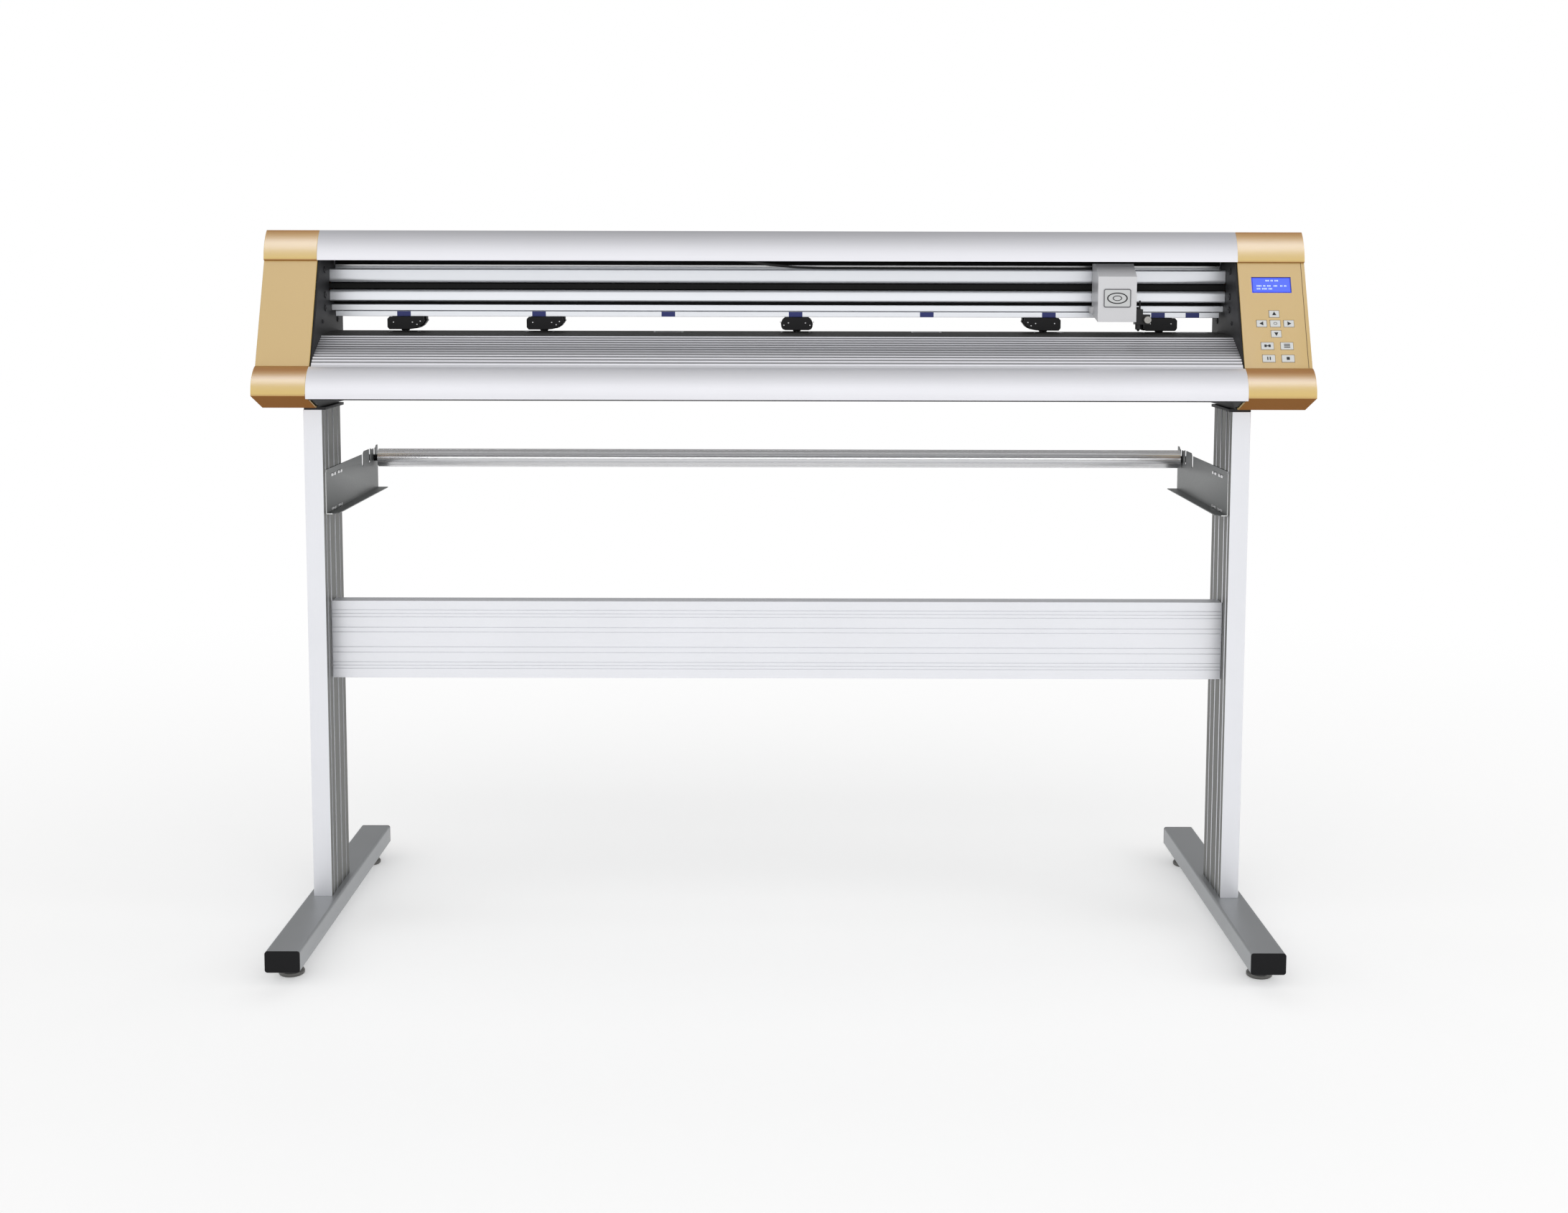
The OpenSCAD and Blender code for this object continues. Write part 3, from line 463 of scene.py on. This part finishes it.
def skin(bm, rings):
    """Joins rings of vertices into a closed tube."""
    for near, far in zip(rings, rings[1:]):
        for i in range(len(near)):
            j = (i + 1) % len(near)
            bm.faces.new((near[i], near[j], far[j], far[i]))
    bm.faces.new(rings[0][::-1])
    bm.faces.new(rings[-1])


def extruded(bm, outline, place, right, up, depth):
    """Extrudes a 2D outline, drawn on right and up from place, by depth along right x up."""
    out = right.cross(up).normalized()
    near = [bm.verts.new(Vector(place) + right * x + up * y) for x, y in outline]
    skin(bm, [near, [bm.verts.new(v.co + out * depth) for v in near]])


def framed(bm, outer, inner, place, right, up, depth):
    """Extrudes the band between two outlines with the same number of points."""
    out = right.cross(up).normalized() * depth
    loops = []
    for outline, shift in ((outer, Vector()), (outer, out), (inner, out), (inner, Vector())):
        loops.append([bm.verts.new(Vector(place) + right * x + up * y + shift) for x, y in outline])
    for a, b in zip(loops, loops[1:] + loops[:1]):
        for i in range(len(a)):
            j = (i + 1) % len(a)
            bm.faces.new((a[i], a[j], b[j], b[i]))


def rounded(width, height, radius, steps=6, middle=(0, 0)):
    """Outline of a rectangle with round corners."""
    points = []
    for cx, cy, start in ((1, 1, 0), (-1, 1, 90), (-1, -1, 180), (1, -1, 270)):
        for i in range(steps + 1):
            a = math.radians(start + 90 * i / steps)
            points.append((middle[0] + cx * (width / 2 - radius) + radius * math.cos(a),
                           middle[1] + cy * (height / 2 - radius) + radius * math.sin(a)))
    return points


def oval(width, height, steps=40):
    """Outline of an ellipse."""
    turns = [2 * math.pi * i / steps for i in range(steps)]
    return [(width / 2 * math.cos(a), height / 2 * math.sin(a)) for a in turns]


def screw_head(bm, place, axis, radius, height=1.6 * MM):
    """Domed head with a six-sided recess."""
    socket, rim = radius * 0.5, radius * 0.5 * 1.16
    turned(bm, [(radius * 0.98, -0.3 * MM), (radius, 0), (radius, height * 0.4),
                (radius * 0.86, height * 0.85), (radius * 0.6, height)], place, axis, 28)
    turn = axis.to_track_quat("Z", "Y").to_matrix()
    corners = [(math.cos(math.pi * i / 3), math.sin(math.pi * i / 3)) for i in range(6)]
    framed(bm, [(rim * x, rim * y) for x, y in corners], [(socket * x, socket * y) for x, y in corners],
           Vector(place) + axis * height * 0.9, turn @ X_AXIS, turn @ Y_AXIS, height * 0.25)


def centre(node):
    """Middle of a node's box."""
    low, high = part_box(node)
    return (low + high) / 2


def face_centre(node, direction):
    """Middle of the face of a node that lies furthest along a direction."""
    points = [v.co for v in frame["nodes"][node].data.vertices]
    reach, same_plane = max(p.dot(direction) for p in points), 0.05 * MM
    face = [p for p in points if reach - p.dot(direction) < same_plane]
    low = Vector([min(p[i] for p in face) for i in range(3)])
    high = Vector([max(p[i] for p in face) for i in range(3)])
    return (low + high) / 2


# The panel leans back: its own up, and the way it faces.
PANEL_UP = centre("key_up") - centre("key_down")
PANEL_UP.x = 0
PANEL_UP.normalize()
PANEL_OUT = Vector((0, -PANEL_UP.z, PANEL_UP.y))


# ---- CAD nodes with softened edges ----

# Edge radius of each plain node, in millimetres.
EDGES = {
    "left_foot_tube": 0.8, "right_foot_tube": 0.8, "foot_plugs": 1.2,
    "levelling_foot_1": 0.6, "levelling_foot_2": 0.6, "levelling_foot_3": 0.6, "levelling_foot_4": 0.6,
    "crossbar": 0.4, "stand_fasteners": 0.3,
    "left_side_plate": 0.5, "right_side_plate": 0.5, "top_cover": 0.6, "base_tray": 0.5, "pinch_bar": 0.4,
    "drive_belt": 0.2, "drive_pulley": 0.3, "idler_pulley": 0.3, "carriage_motor": 1.0,
    "carriage_plate": 0.5, "carriage_housing": 1.6, "tool_arm": 0.4, "blade_holder": 0.3,
    "grit_shaft": 0.4, "shaft_coupler": 0.5, "feed_motor": 1.0,
    "lcd_display": 0.4, "control_board": 0.3, "power_inlet": 0.6, "power_switch": 0.6,
    "key_up": 0.5, "key_left": 0.5, "key_centre": 0.5, "key_right": 0.5, "key_down": 0.5,
    "key_online": 0.5, "key_menu": 0.5, "key_pause": 0.5, "key_reset": 0.5,
}


def make_plain_nodes():
    """The nodes that need only softer edges and one look."""
    for node, width in EDGES.items():
        refine(node, width * MM, 3 if width > 1 else 2)


def make_caps():
    """Gilded caps whose flat fronts carry a matt film, and whose tops and undersides carry painted shade."""
    film_step = 1.2 * MM
    caps = [refine("left_cap", 0.8 * MM), refine("right_cap", 0.6 * MM)]
    panel = face_centre("lcd_display", PANEL_OUT)
    for cap in caps:
        repaint(cap, PANEL_GOLD, lambda face: face.normal.dot(PANEL_OUT) > 0.999
                and abs((face.center - panel).dot(PANEL_OUT)) < film_step)
        # painted shade on the undersides
        repaint(cap, UNDER_PAINTED_SHADE, lambda face: face.normal.z < -0.4)
        # painted shade on the flat tops
        repaint(cap, TOP_PAINTED_SHADE, lambda face: face.normal.z > 0.95)
    gloss_light("gold_strip", (0, -1.9, 3.3), (0, 0, 0.95), (4.4, 1.7), 330, (0.50, 0.60, 1.0), "gilded",
                caps)


def make_platen():
    """Platen with painted shade on the groove floors between its ribs and a painted shadow along the flat
    rear deck.
    """
    nose_depth, deck_drop = 32 * MM, 9 * MM
    groove_area = 0.0012  # square metres: a groove's floor is larger, and a rib's top is smaller
    piece = refine("platen", 0.3 * MM)
    low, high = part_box("platen")
    # painted shade on the groove floors between the ribs
    repaint(piece, GROOVE_PAINTED_SHADE, lambda face: face.normal.z > 0.6 and face.area > groove_area
            and face.center.y > low.y + nose_depth)
    # painted shadow along the flat rear deck
    repaint(piece, DECK_PAINTED_SHADOW, lambda face: face.normal.z > 0.99 and face.center.z > high.z - deck_drop)


def make_beam():
    """Beam with painted shade inside its belt slot and on the set-back wall below it."""
    slot_bottom, slot_top, set_back = 31.5 * MM, 43.5 * MM, 20 * MM
    piece = refine("main_beam", 0.5 * MM)
    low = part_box("main_beam")[0]
    bottom, top = low.z + slot_bottom, low.z + slot_top
    # painted shade inside the belt slot and on the set-back wall
    repaint(piece, GASKET_AND_PAINTED_SHADE, lambda face: bottom < face.center.z < top
            or (face.normal.y < -0.9 and face.center.y > low.y + set_back and face.center.z < top))


def make_posts():
    """Posts whose grooved inner sides get a darker copy of their metal as painted shade."""
    groove_depth = 3 * MM
    for node, side in (("left_post", 1), ("right_post", -1)):
        piece = refine(node, 0.7 * MM)
        inner = max(v.co.x * side for v in piece.data.vertices)
        # painted shade on the inner sides and in the grooves
        repaint(piece, POST_INNER_PAINTED_SHADE, lambda face: face.normal.x * side > 0.5
                or (face.center.x * side > inner - groove_depth and abs(face.normal.y) < 0.9))


def make_roll_holder():
    """Brackets with bright sheared front edges, and the media roller with its dark end pins."""
    cut_depth, left_pin, right_pin = 14 * MM, 18.8 * MM, 13.8 * MM
    for node in ("left_roll_bracket", "right_roll_bracket"):
        piece = refine(node, 0.2 * MM)
        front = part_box(node)[0].y + cut_depth
        repaint(piece, CUT_EDGE, lambda face: face.normal.y < -0.6 and face.center.y < front)
    piece = refine("media_roller", 0.2 * MM)
    low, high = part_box("media_roller")
    repaint(piece, LOOKS["plug_black"], lambda face: abs(face.normal.x) > 0.9
            or not low.x + left_pin < face.center.x < high.x - right_pin)
    gloss_light("roller_strip", (0, -2.2, 0.98), (0, 0.29, 0.70), (4.2, 0.16), 10, (0.96, 0.97, 1.0),
                "roller_only", [piece])


def make_lever():
    """Steel cam shaft whose hand grip, far out from the shaft, is black."""
    grip_start = 36 * MM
    piece = refine("lift_lever", 0.8 * MM, 3)
    turn = next(joint for joint in RECORD["behaviour"]["joints"] if joint["name"] == "lift_lever_turn")
    shaft_y, shaft_z = turn["pos_m"][1:]
    repaint(piece, LOOKS["holder_black"],
            lambda face: math.hypot(face.center.y - shaft_y, face.center.z - shaft_z) > grip_start)


# ---- Control panel ----

def symbol(name, key, outlines):
    """Thin printed marks on the front face of a key."""
    bm = bmesh.new()
    place = face_centre(key, PANEL_OUT)
    for outline in outlines:
        extruded(bm, outline, place, X_AXIS, PANEL_UP, 0.12 * MM)
    add_piece(name, bm, key, INK)


def arrow(angle):
    """Outline of a triangle that points up, turned by an angle in degrees."""
    size = 3.7 * MM
    a = math.radians(angle)
    return [(size * (x * math.cos(a) - y * math.sin(a)), size * (x * math.sin(a) + y * math.cos(a)))
            for x, y in ((-0.85, -0.6), (0.85, -0.6), (0, 0.95))]


def make_keys():
    """Arrows, a ring and plain signs on the nine keys."""
    for key, angle in (("key_up", 0), ("key_left", 90), ("key_down", 180), ("key_right", 270)):
        symbol(key + "_arrow", key, [arrow(angle)])
    bm = bmesh.new()
    framed(bm, oval(5.4 * MM, 4.2 * MM), oval(4.2 * MM, 3.0 * MM), face_centre("key_centre", PANEL_OUT),
           X_AXIS, PANEL_UP, 0.12 * MM)
    add_piece("key_centre_ring", bm, "key_centre", INK)
    stroke, corner = 1.3 * MM, 0.3 * MM
    marks = {
        "key_online": [rounded(3.4 * MM, 4 * MM, 0.4 * MM, middle=(-3 * MM, 0)),
                       rounded(3.4 * MM, 4 * MM, 0.4 * MM, middle=(3 * MM, 0)),
                       rounded(3 * MM, stroke, corner)],
        "key_menu": [rounded(9 * MM, stroke, corner, middle=(0, y * MM)) for y in (-2.4, 0, 2.4)],
        "key_pause": [rounded(stroke * 1.3, 5 * MM, corner, middle=(x * MM, 0)) for x in (-1.8, 1.8)],
        "key_reset": [rounded(4.6 * MM, 4.6 * MM, 0.5 * MM)],
    }
    for key, outlines in marks.items():
        symbol(key + "_mark", key, outlines)


def make_display():
    """Bezel round the glass and three rows of plain lit blocks."""
    place = face_centre("lcd_display", PANEL_OUT)
    width, height = 58 * MM, 24.4 * MM
    bm = bmesh.new()
    framed(bm, rounded(width - 0.4 * MM, height - 0.4 * MM, 1.2 * MM),
           rounded(width - 2.6 * MM, height - 2.6 * MM, 0.6 * MM), place, X_AXIS, PANEL_UP, 0.25 * MM)
    add_piece("display_bezel", bm, "base", BEZEL_BLUE)
    cell, middle_cell = 1.7 * MM, 12
    lit_cells_by_height = {7.0: [8, 9, 10, 12, 13, 15, 16, 17],
                           -1.4: [1, 2, 3, 4, 6, 7, 9, 10, 11, 14, 15, 16, 19, 20, 22, 23],
                           -6.0: [1, 2, 3, 5, 6, 7, 8, 10, 11, 12]}
    bm = bmesh.new()
    for row, cells in lit_cells_by_height.items():
        for i in cells:
            at = ((i - middle_cell) * cell * 1.15, row * MM)
            extruded(bm, rounded(cell * 0.72, cell * 1.45, 0.15 * MM, 2, at), place, X_AXIS, PANEL_UP,
                     0.1 * MM)
    add_piece("display_blocks", bm, "base", LIT_DOTS)


def make_cap_details():
    """Fine joint line down the right cap beside the keys, and small screws on the caps' outer faces."""
    seam_inset, seam_length, seam_rise, seam_gap = 5.5 * MM, 168 * MM, 36 * MM, 0.42 * MM
    top = face_centre("lcd_display", PANEL_OUT) + PANEL_UP * seam_rise
    top.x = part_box("right_cap")[1].x - seam_inset
    bm = bmesh.new()
    extruded(bm, rounded(0.8 * MM, seam_length, 0.3 * MM, 2, (0, seam_length / 2)),
             top - PANEL_UP * seam_length + PANEL_OUT * seam_gap, X_AXIS, PANEL_UP, 0.1 * MM)
    add_piece("panel_seam", bm, "base", SEAM_BROWN)
    for node, side in (("left_cap", -1), ("right_cap", 1)):
        low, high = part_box(node)
        face_x = low.x if side < 0 else high.x
        bm = bmesh.new()
        for y, z in ((-30, 225), (45, 225), (70, 40), (-95, 40)):
            screw_head(bm, Vector((face_x, y * MM, low.z + z * MM)), X_AXIS * side, 3.6 * MM)
        add_piece(node + "_screws", bm, "base", STEEL)


# ---- Pinch rollers ----

# Half outlines of a pinch holder in front view, from its underside up, in millimetres.
HOLDER_SHAPES = {
    "square": [(-22.5, 0), (-25.5, 3.5), (-25.5, 16), (-22, 19.6)],
    "belly": [(-6, 0), (-14, 0.8), (-21, 2.8), (-26, 6), (-29.5, 10.5), (-32, 14), (-30.6, 14.6),
              (-30.4, 19.6)],
    "blunt": [(-18, 0), (-22, 1.5), (-24, 5), (-24.6, 10), (-22.5, 15.5), (-18, 19.6)],
}
HOLDER_ENDS = [("square", "belly"), ("square", "belly"), ("blunt", "blunt"), ("belly", "square"),
               ("square", "square")]
HOLDER_HEIGHT = 19.6 * MM


def holder_outline(left, right, height):
    """Front view of a holder with the given ends, stretched to a height."""
    points = HOLDER_SHAPES[left] + [(-x, y) for x, y in reversed(HOLDER_SHAPES[right])]
    return [(x * MM, y * MM * height / HOLDER_HEIGHT) for x, y in points]


def make_holder(number, ends):
    """A holder of two cheeks with a block on each side of the wheel, which keeps its pocket, and its pins."""
    node = "pinch_holder_%d" % number
    low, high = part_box(node)
    mid = (low.x + high.x) / 2
    wheel_low, wheel_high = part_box("pinch_wheel_%d" % number)
    gap, pocket_gap, half_length = 0.8 * MM, 1.2 * MM, 21 * MM
    pocket_front, pocket_back = wheel_low.y - pocket_gap, wheel_high.y + pocket_gap
    look = LOOKS["holder_black"]

    outline = holder_outline(*ends, high.z - low.z)
    bm = bmesh.new()
    extruded(bm, outline, (mid, pocket_front, low.z), X_AXIS, Z_AXIS, pocket_front - low.y)
    extruded(bm, outline, (mid, high.y, low.z), X_AXIS, Z_AXIS, high.y - pocket_back)
    soften(add_piece(node + "_shell", bm, node, look, [node]), 0.7 * MM, 3)

    bm = bmesh.new()
    bottom, top = low.z + 2 * MM, high.z - 1.5 * MM
    block(bm, (mid - half_length, pocket_front, bottom), (wheel_low.x - gap, pocket_back, top))
    block(bm, (wheel_high.x + gap, pocket_front, bottom), (mid + half_length, pocket_back, top))
    soften(add_piece(node + "_sides", bm, node, look), 0.6 * MM)

    bm = bmesh.new()
    overhang = 1.5 * MM
    axle = (wheel_low + wheel_high) / 2
    axle.x = wheel_low.x - overhang
    length = wheel_high.x - wheel_low.x + 2 * overhang
    turned(bm, [(1.6 * MM, 0), (1.9 * MM, 0.4 * MM), (1.9 * MM, length - 0.4 * MM), (1.6 * MM, length)],
           axle, X_AXIS, 24)
    for side, shape in zip((-1, 1), ends):
        spots = [(16, 11)] if shape == "square" else [(25, 12.5), (20, 7.5), (13, 11)]
        for x, z in spots:
            turned(bm, [(0.9 * MM, 0), (1.1 * MM, 0.3 * MM), (0.6 * MM, 0.7 * MM)],
                   (mid + side * x * MM, low.y - 0.1 * MM, low.z + z * MM), -Y_AXIS, 16)
    add_piece(node + "_pins", bm, node, STEEL)


def make_wheel(number):
    """Rubber tyre with a rounded tread on a steel-faced hub."""
    node = "pinch_wheel_%d" % number
    low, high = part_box(node)
    r = (high.z - low.z) / 2
    width = high.x - low.x
    place = Vector((low.x, (low.y + high.y) / 2, (low.z + high.z) / 2))
    shoulder, ridges, ridge_height = 1.8 * MM, 10, 0.18 * MM
    crown = [(r - 2 * MM, 0), (r - 0.7 * MM, 0.25 * MM), (r - 0.15 * MM, 1.3 * MM)]
    tread = [(r - (0.0 if k % 2 else ridge_height), shoulder + k * (width - 2 * shoulder) / ridges)
             for k in range(ridges + 1)]
    mirror = [(p, width - h) for p, h in reversed(crown)]
    bm = bmesh.new()
    turned(bm, crown + tread + mirror, place, X_AXIS, 64)
    add_piece(node + "_tyre", bm, node, LOOKS["wheel_rubber"], [node])
    bm = bmesh.new()
    hub = [(4.6 * MM, -0.2 * MM), (4.6 * MM, 0.15 * MM), (4.0 * MM, 0.3 * MM), (2.6 * MM, 0.3 * MM)]
    for x, side in ((low.x, -1), (high.x, 1)):
        turned(bm, hub, (x, place.y, place.z), X_AXIS * side, 32)
    add_piece(node + "_hub", bm, node, STEEL)


def make_markers():
    """Blue film marks on the pinch bar, one over each grit roller."""
    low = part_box("pinch_bar")[0]
    shaft = frame["nodes"]["grit_shaft"].data.vertices
    rollers_top = max(v.co.z for v in shaft) - 0.4 * MM
    ends = sorted({round(v.co.x, 5) for v in shaft if v.co.z > rollers_top})
    bm = bmesh.new()
    for left, right in zip(ends[::2], ends[1::2]):
        extruded(bm, rounded(21 * MM, 7.6 * MM, 0.3 * MM, 3), ((left + right) / 2, low.y, low.z + 4 * MM),
                 X_AXIS, Z_AXIS, 0.15 * MM)
    add_piece("roller_marks", bm, "pinch_bar", BLUE_FILM)


# ---- Carriage and tool ----

def make_emblem():
    """Framed plate with two plain oval rings on the carriage's front."""
    low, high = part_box("carriage_housing")
    tab, drop = 4 * MM, 8 * MM
    place = Vector(((low.x + tab + high.x) / 2, low.y - 0.1 * MM, (low.z + high.z) / 2 - drop))
    width, height, rim, plate_depth = 41 * MM, 28 * MM, 3 * MM, 0.4 * MM
    plate = rounded(width - rim, height - rim, 2 * MM)
    bm = bmesh.new()
    framed(bm, rounded(width, height, 3 * MM), plate, place, X_AXIS, Z_AXIS, 1.1 * MM)
    soften(add_piece("emblem_frame", bm, "carriage", FRAME_GREY), 0.35 * MM)
    bm = bmesh.new()
    extruded(bm, plate, place, X_AXIS, Z_AXIS, plate_depth)
    add_piece("emblem_plate", bm, "carriage", EMBLEM_METAL)
    outer_ring = (oval(31 * MM, 17 * MM), oval(27.5 * MM, 14 * MM))
    inner_ring = (oval(14 * MM, 8 * MM), oval(11.5 * MM, 6 * MM))
    bm = bmesh.new()
    for outside, inside in (outer_ring, inner_ring):
        framed(bm, outside, inside, place - Y_AXIS * plate_depth, X_AXIS, Z_AXIS, 0.5 * MM)
    add_piece("emblem_rings", bm, "carriage", LOOKS["arm_black"])


def make_springs():
    """A coil spring on each of the two guide rods."""
    low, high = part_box("tool_arm")
    rods_x = (low.x + 2.6 * MM, low.x + 9.1 * MM)
    rods_y = (low.y + high.y) / 2 + 6 * MM
    start, length, coil_radius = high.z - 13 * MM, 11 * MM, 2.1 * MM
    steps, turns = 96, 6
    bm = bmesh.new()
    for x in rods_x:
        path = []
        for k in range(steps + 1):
            a = 2 * math.pi * turns * k / steps
            path.append(Vector((x + coil_radius * math.cos(a), rods_y + coil_radius * math.sin(a),
                                start + length * k / steps)))
        swept(bm, path, 0.35 * MM, 6)
    add_piece("tool_springs", bm, "tool", STEEL)


def make_knob():
    """Clamp knob turned with its stem, with knurled ribs round its rim."""
    low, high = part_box("clamp_knob")
    middle = (low + high) / 2
    r = (high.x - low.x) / 2
    length = high.y - low.y
    rim_start, ribs = length - 8 * MM, 30
    profile = [(2 * MM, 0), (2 * MM, rim_start), (r - 0.5 * MM, rim_start), (r, length - 7.4 * MM),
               (r, length - 0.9 * MM), (r - 0.3 * MM, length - 0.35 * MM), (r - 1 * MM, length - 0.1 * MM),
               (2.2 * MM, length), (1.9 * MM, length - 0.5 * MM), (0.3 * MM, length - 0.5 * MM)]
    rib = [(0.3 * MM, 0), (0.42 * MM, 0.4 * MM), (0.42 * MM, 5.4 * MM), (0.3 * MM, 5.8 * MM)]
    bm = bmesh.new()
    turned(bm, profile, (middle.x, high.y, middle.z), -Y_AXIS, 48)
    for k in range(ribs):
        a = 2 * math.pi * k / ribs
        place = (middle.x + r * math.cos(a), low.y + 6.9 * MM, middle.z + r * math.sin(a))
        turned(bm, rib, place, -Y_AXIS, 8)
    add_piece("clamp_knob_turned", bm, "clamp_knob", LOOKS["knob_steel"], ["clamp_knob"])


def make_head_cable():
    """Flat cable in the trough, stretched between the fixed end and the carriage."""
    low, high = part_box("head_cable")
    bm = cad_copy("head_cable")
    step = 12 * MM
    for i in range(1, int((high.x - low.x) / step)):
        everything = bm.verts[:] + bm.edges[:] + bm.faces[:]
        bmesh.ops.bisect_plane(bm, geom=everything, plane_co=(low.x + i * step, 0, 0), plane_no=X_AXIS)
    mesh = bpy.data.meshes.new("head_cable_band")
    bm.to_mesh(mesh)
    bm.free()
    mesh.materials.append(LOOKS["cable_black"])
    band = bpy.data.objects.new("head_cable_band", mesh)
    bpy.context.scene.collection.objects.link(band)
    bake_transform(band)
    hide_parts("head_cable")


# ---- Body details ----

def make_trough_strips():
    """Rubber gasket, pale wiper and bright edge on the trough's rear wall, seen under the cover; the gasket's
    black also gives painted shade under the cover.
    """
    low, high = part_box("main_beam")
    wall_y, end_gap = high.y - 3 * MM, 2 * MM
    strips = {"trough_gasket_and_painted_shade": (0, 18.5, GASKET_AND_PAINTED_SHADE),
              "trough_wiper": (18.5, 21.5, LOOKS["roller_aluminium"]),
              "trough_edge": (21.5, 25, LOOKS["beam_silver"])}
    for name, (top, bottom, look) in strips.items():
        bm = bmesh.new()
        block(bm, (low.x + end_gap, wall_y - 1.2 * MM, high.z - bottom * MM),
              (high.x - end_gap, wall_y, high.z - top * MM))
        soften(add_piece(name, bm, "base", look), 0.3 * MM)


def make_plate_details():
    """Round bosses and screw heads on the inner faces of the side plates, placed as (y, height)."""
    cover_low, cover_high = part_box("top_cover")
    boss = [(5.2 * MM, 0), (5.2 * MM, 0.8 * MM), (4.4 * MM, 1.6 * MM), (2.2 * MM, 1.6 * MM),
            (2.0 * MM, 0.9 * MM), (0.4 * MM, 0.9 * MM)]
    plate_thickness, flange = 3 * MM, 4 * MM
    for node, side in (("left_side_plate", 1), ("right_side_plate", -1)):
        floor_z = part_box(node)[0].z + flange
        face_x = cover_low.x + plate_thickness if side > 0 else cover_high.x - plate_thickness
        bm = bmesh.new()
        for y, z in ((-25, 206), (-25, 168), (-25, 148), (55, 190), (55, 130)):
            turned(bm, boss, (face_x, y * MM, floor_z + z * MM), X_AXIS * side, 28)
        add_piece(node + "_bosses", bm, "base", BLACK)
        bm = bmesh.new()
        for y, z in ((-44, 128), (62, 160)):
            screw_head(bm, (face_x, y * MM, floor_z + z * MM), X_AXIS * side, 3 * MM)
        add_piece(node + "_screws", bm, "base", BLACK)


def make_crossbar_bolts():
    """Socket heads of the bolts that hold the crossbar, on the posts' outer sides."""
    low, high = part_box("stand_fasteners")
    bar_low, bar_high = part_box("crossbar")
    bm = bmesh.new()
    for side, face_x in ((-1, low.x), (1, high.x)):
        for part in (0.25, 0.75):
            z = bar_low.z + (bar_high.z - bar_low.z) * part
            place = Vector((face_x, (bar_low.y + bar_high.y) / 2, z))
            screw_head(bm, place - X_AXIS * side * 0.6 * MM, X_AXIS * side, 6.2 * MM, 1.4 * MM)
    add_piece("crossbar_bolt_heads", bm, "base", STEEL)


def spread(low, high, margin, count):
    """Evenly spaced places between two ends, kept a margin in from each."""
    return [low + margin + (high - low - 2 * margin) * i / (count - 1) for i in range(count)]


def make_rear_screws():
    """Screws along the rear faces of the base tray and the top cover."""
    count = 9
    low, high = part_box("base_tray")
    bm = bmesh.new()
    for x in spread(low.x, high.x, 60 * MM, count):
        screw_head(bm, (x, high.y, low.z + 40 * MM), Y_AXIS, 3.4 * MM)
    add_piece("tray_screws", bm, "base", STEEL)
    low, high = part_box("top_cover")
    facing = Vector((0, 0.95, 0.31)).normalized()
    bm = bmesh.new()
    for x in spread(low.x, high.x, 70 * MM, count):
        screw_head(bm, (x, high.y - 11 * MM, low.z + 32 * MM), facing, 3 * MM)
    add_piece("cover_screws", bm, "base", STEEL)


make_studio()
make_plain_nodes()
make_caps()
make_platen()
make_beam()
make_posts()
make_roll_holder()
make_keys()
make_display()
make_cap_details()
for number, ends in enumerate(HOLDER_ENDS, 1):
    make_holder(number, ends)
make_lever()
for number in range(1, len(HOLDER_ENDS) + 1):
    make_wheel(number)
make_markers()
make_emblem()
make_springs()
make_knob()
make_head_cable()
make_trough_strips()
make_plate_details()
make_crossbar_bolts()
make_rear_screws()
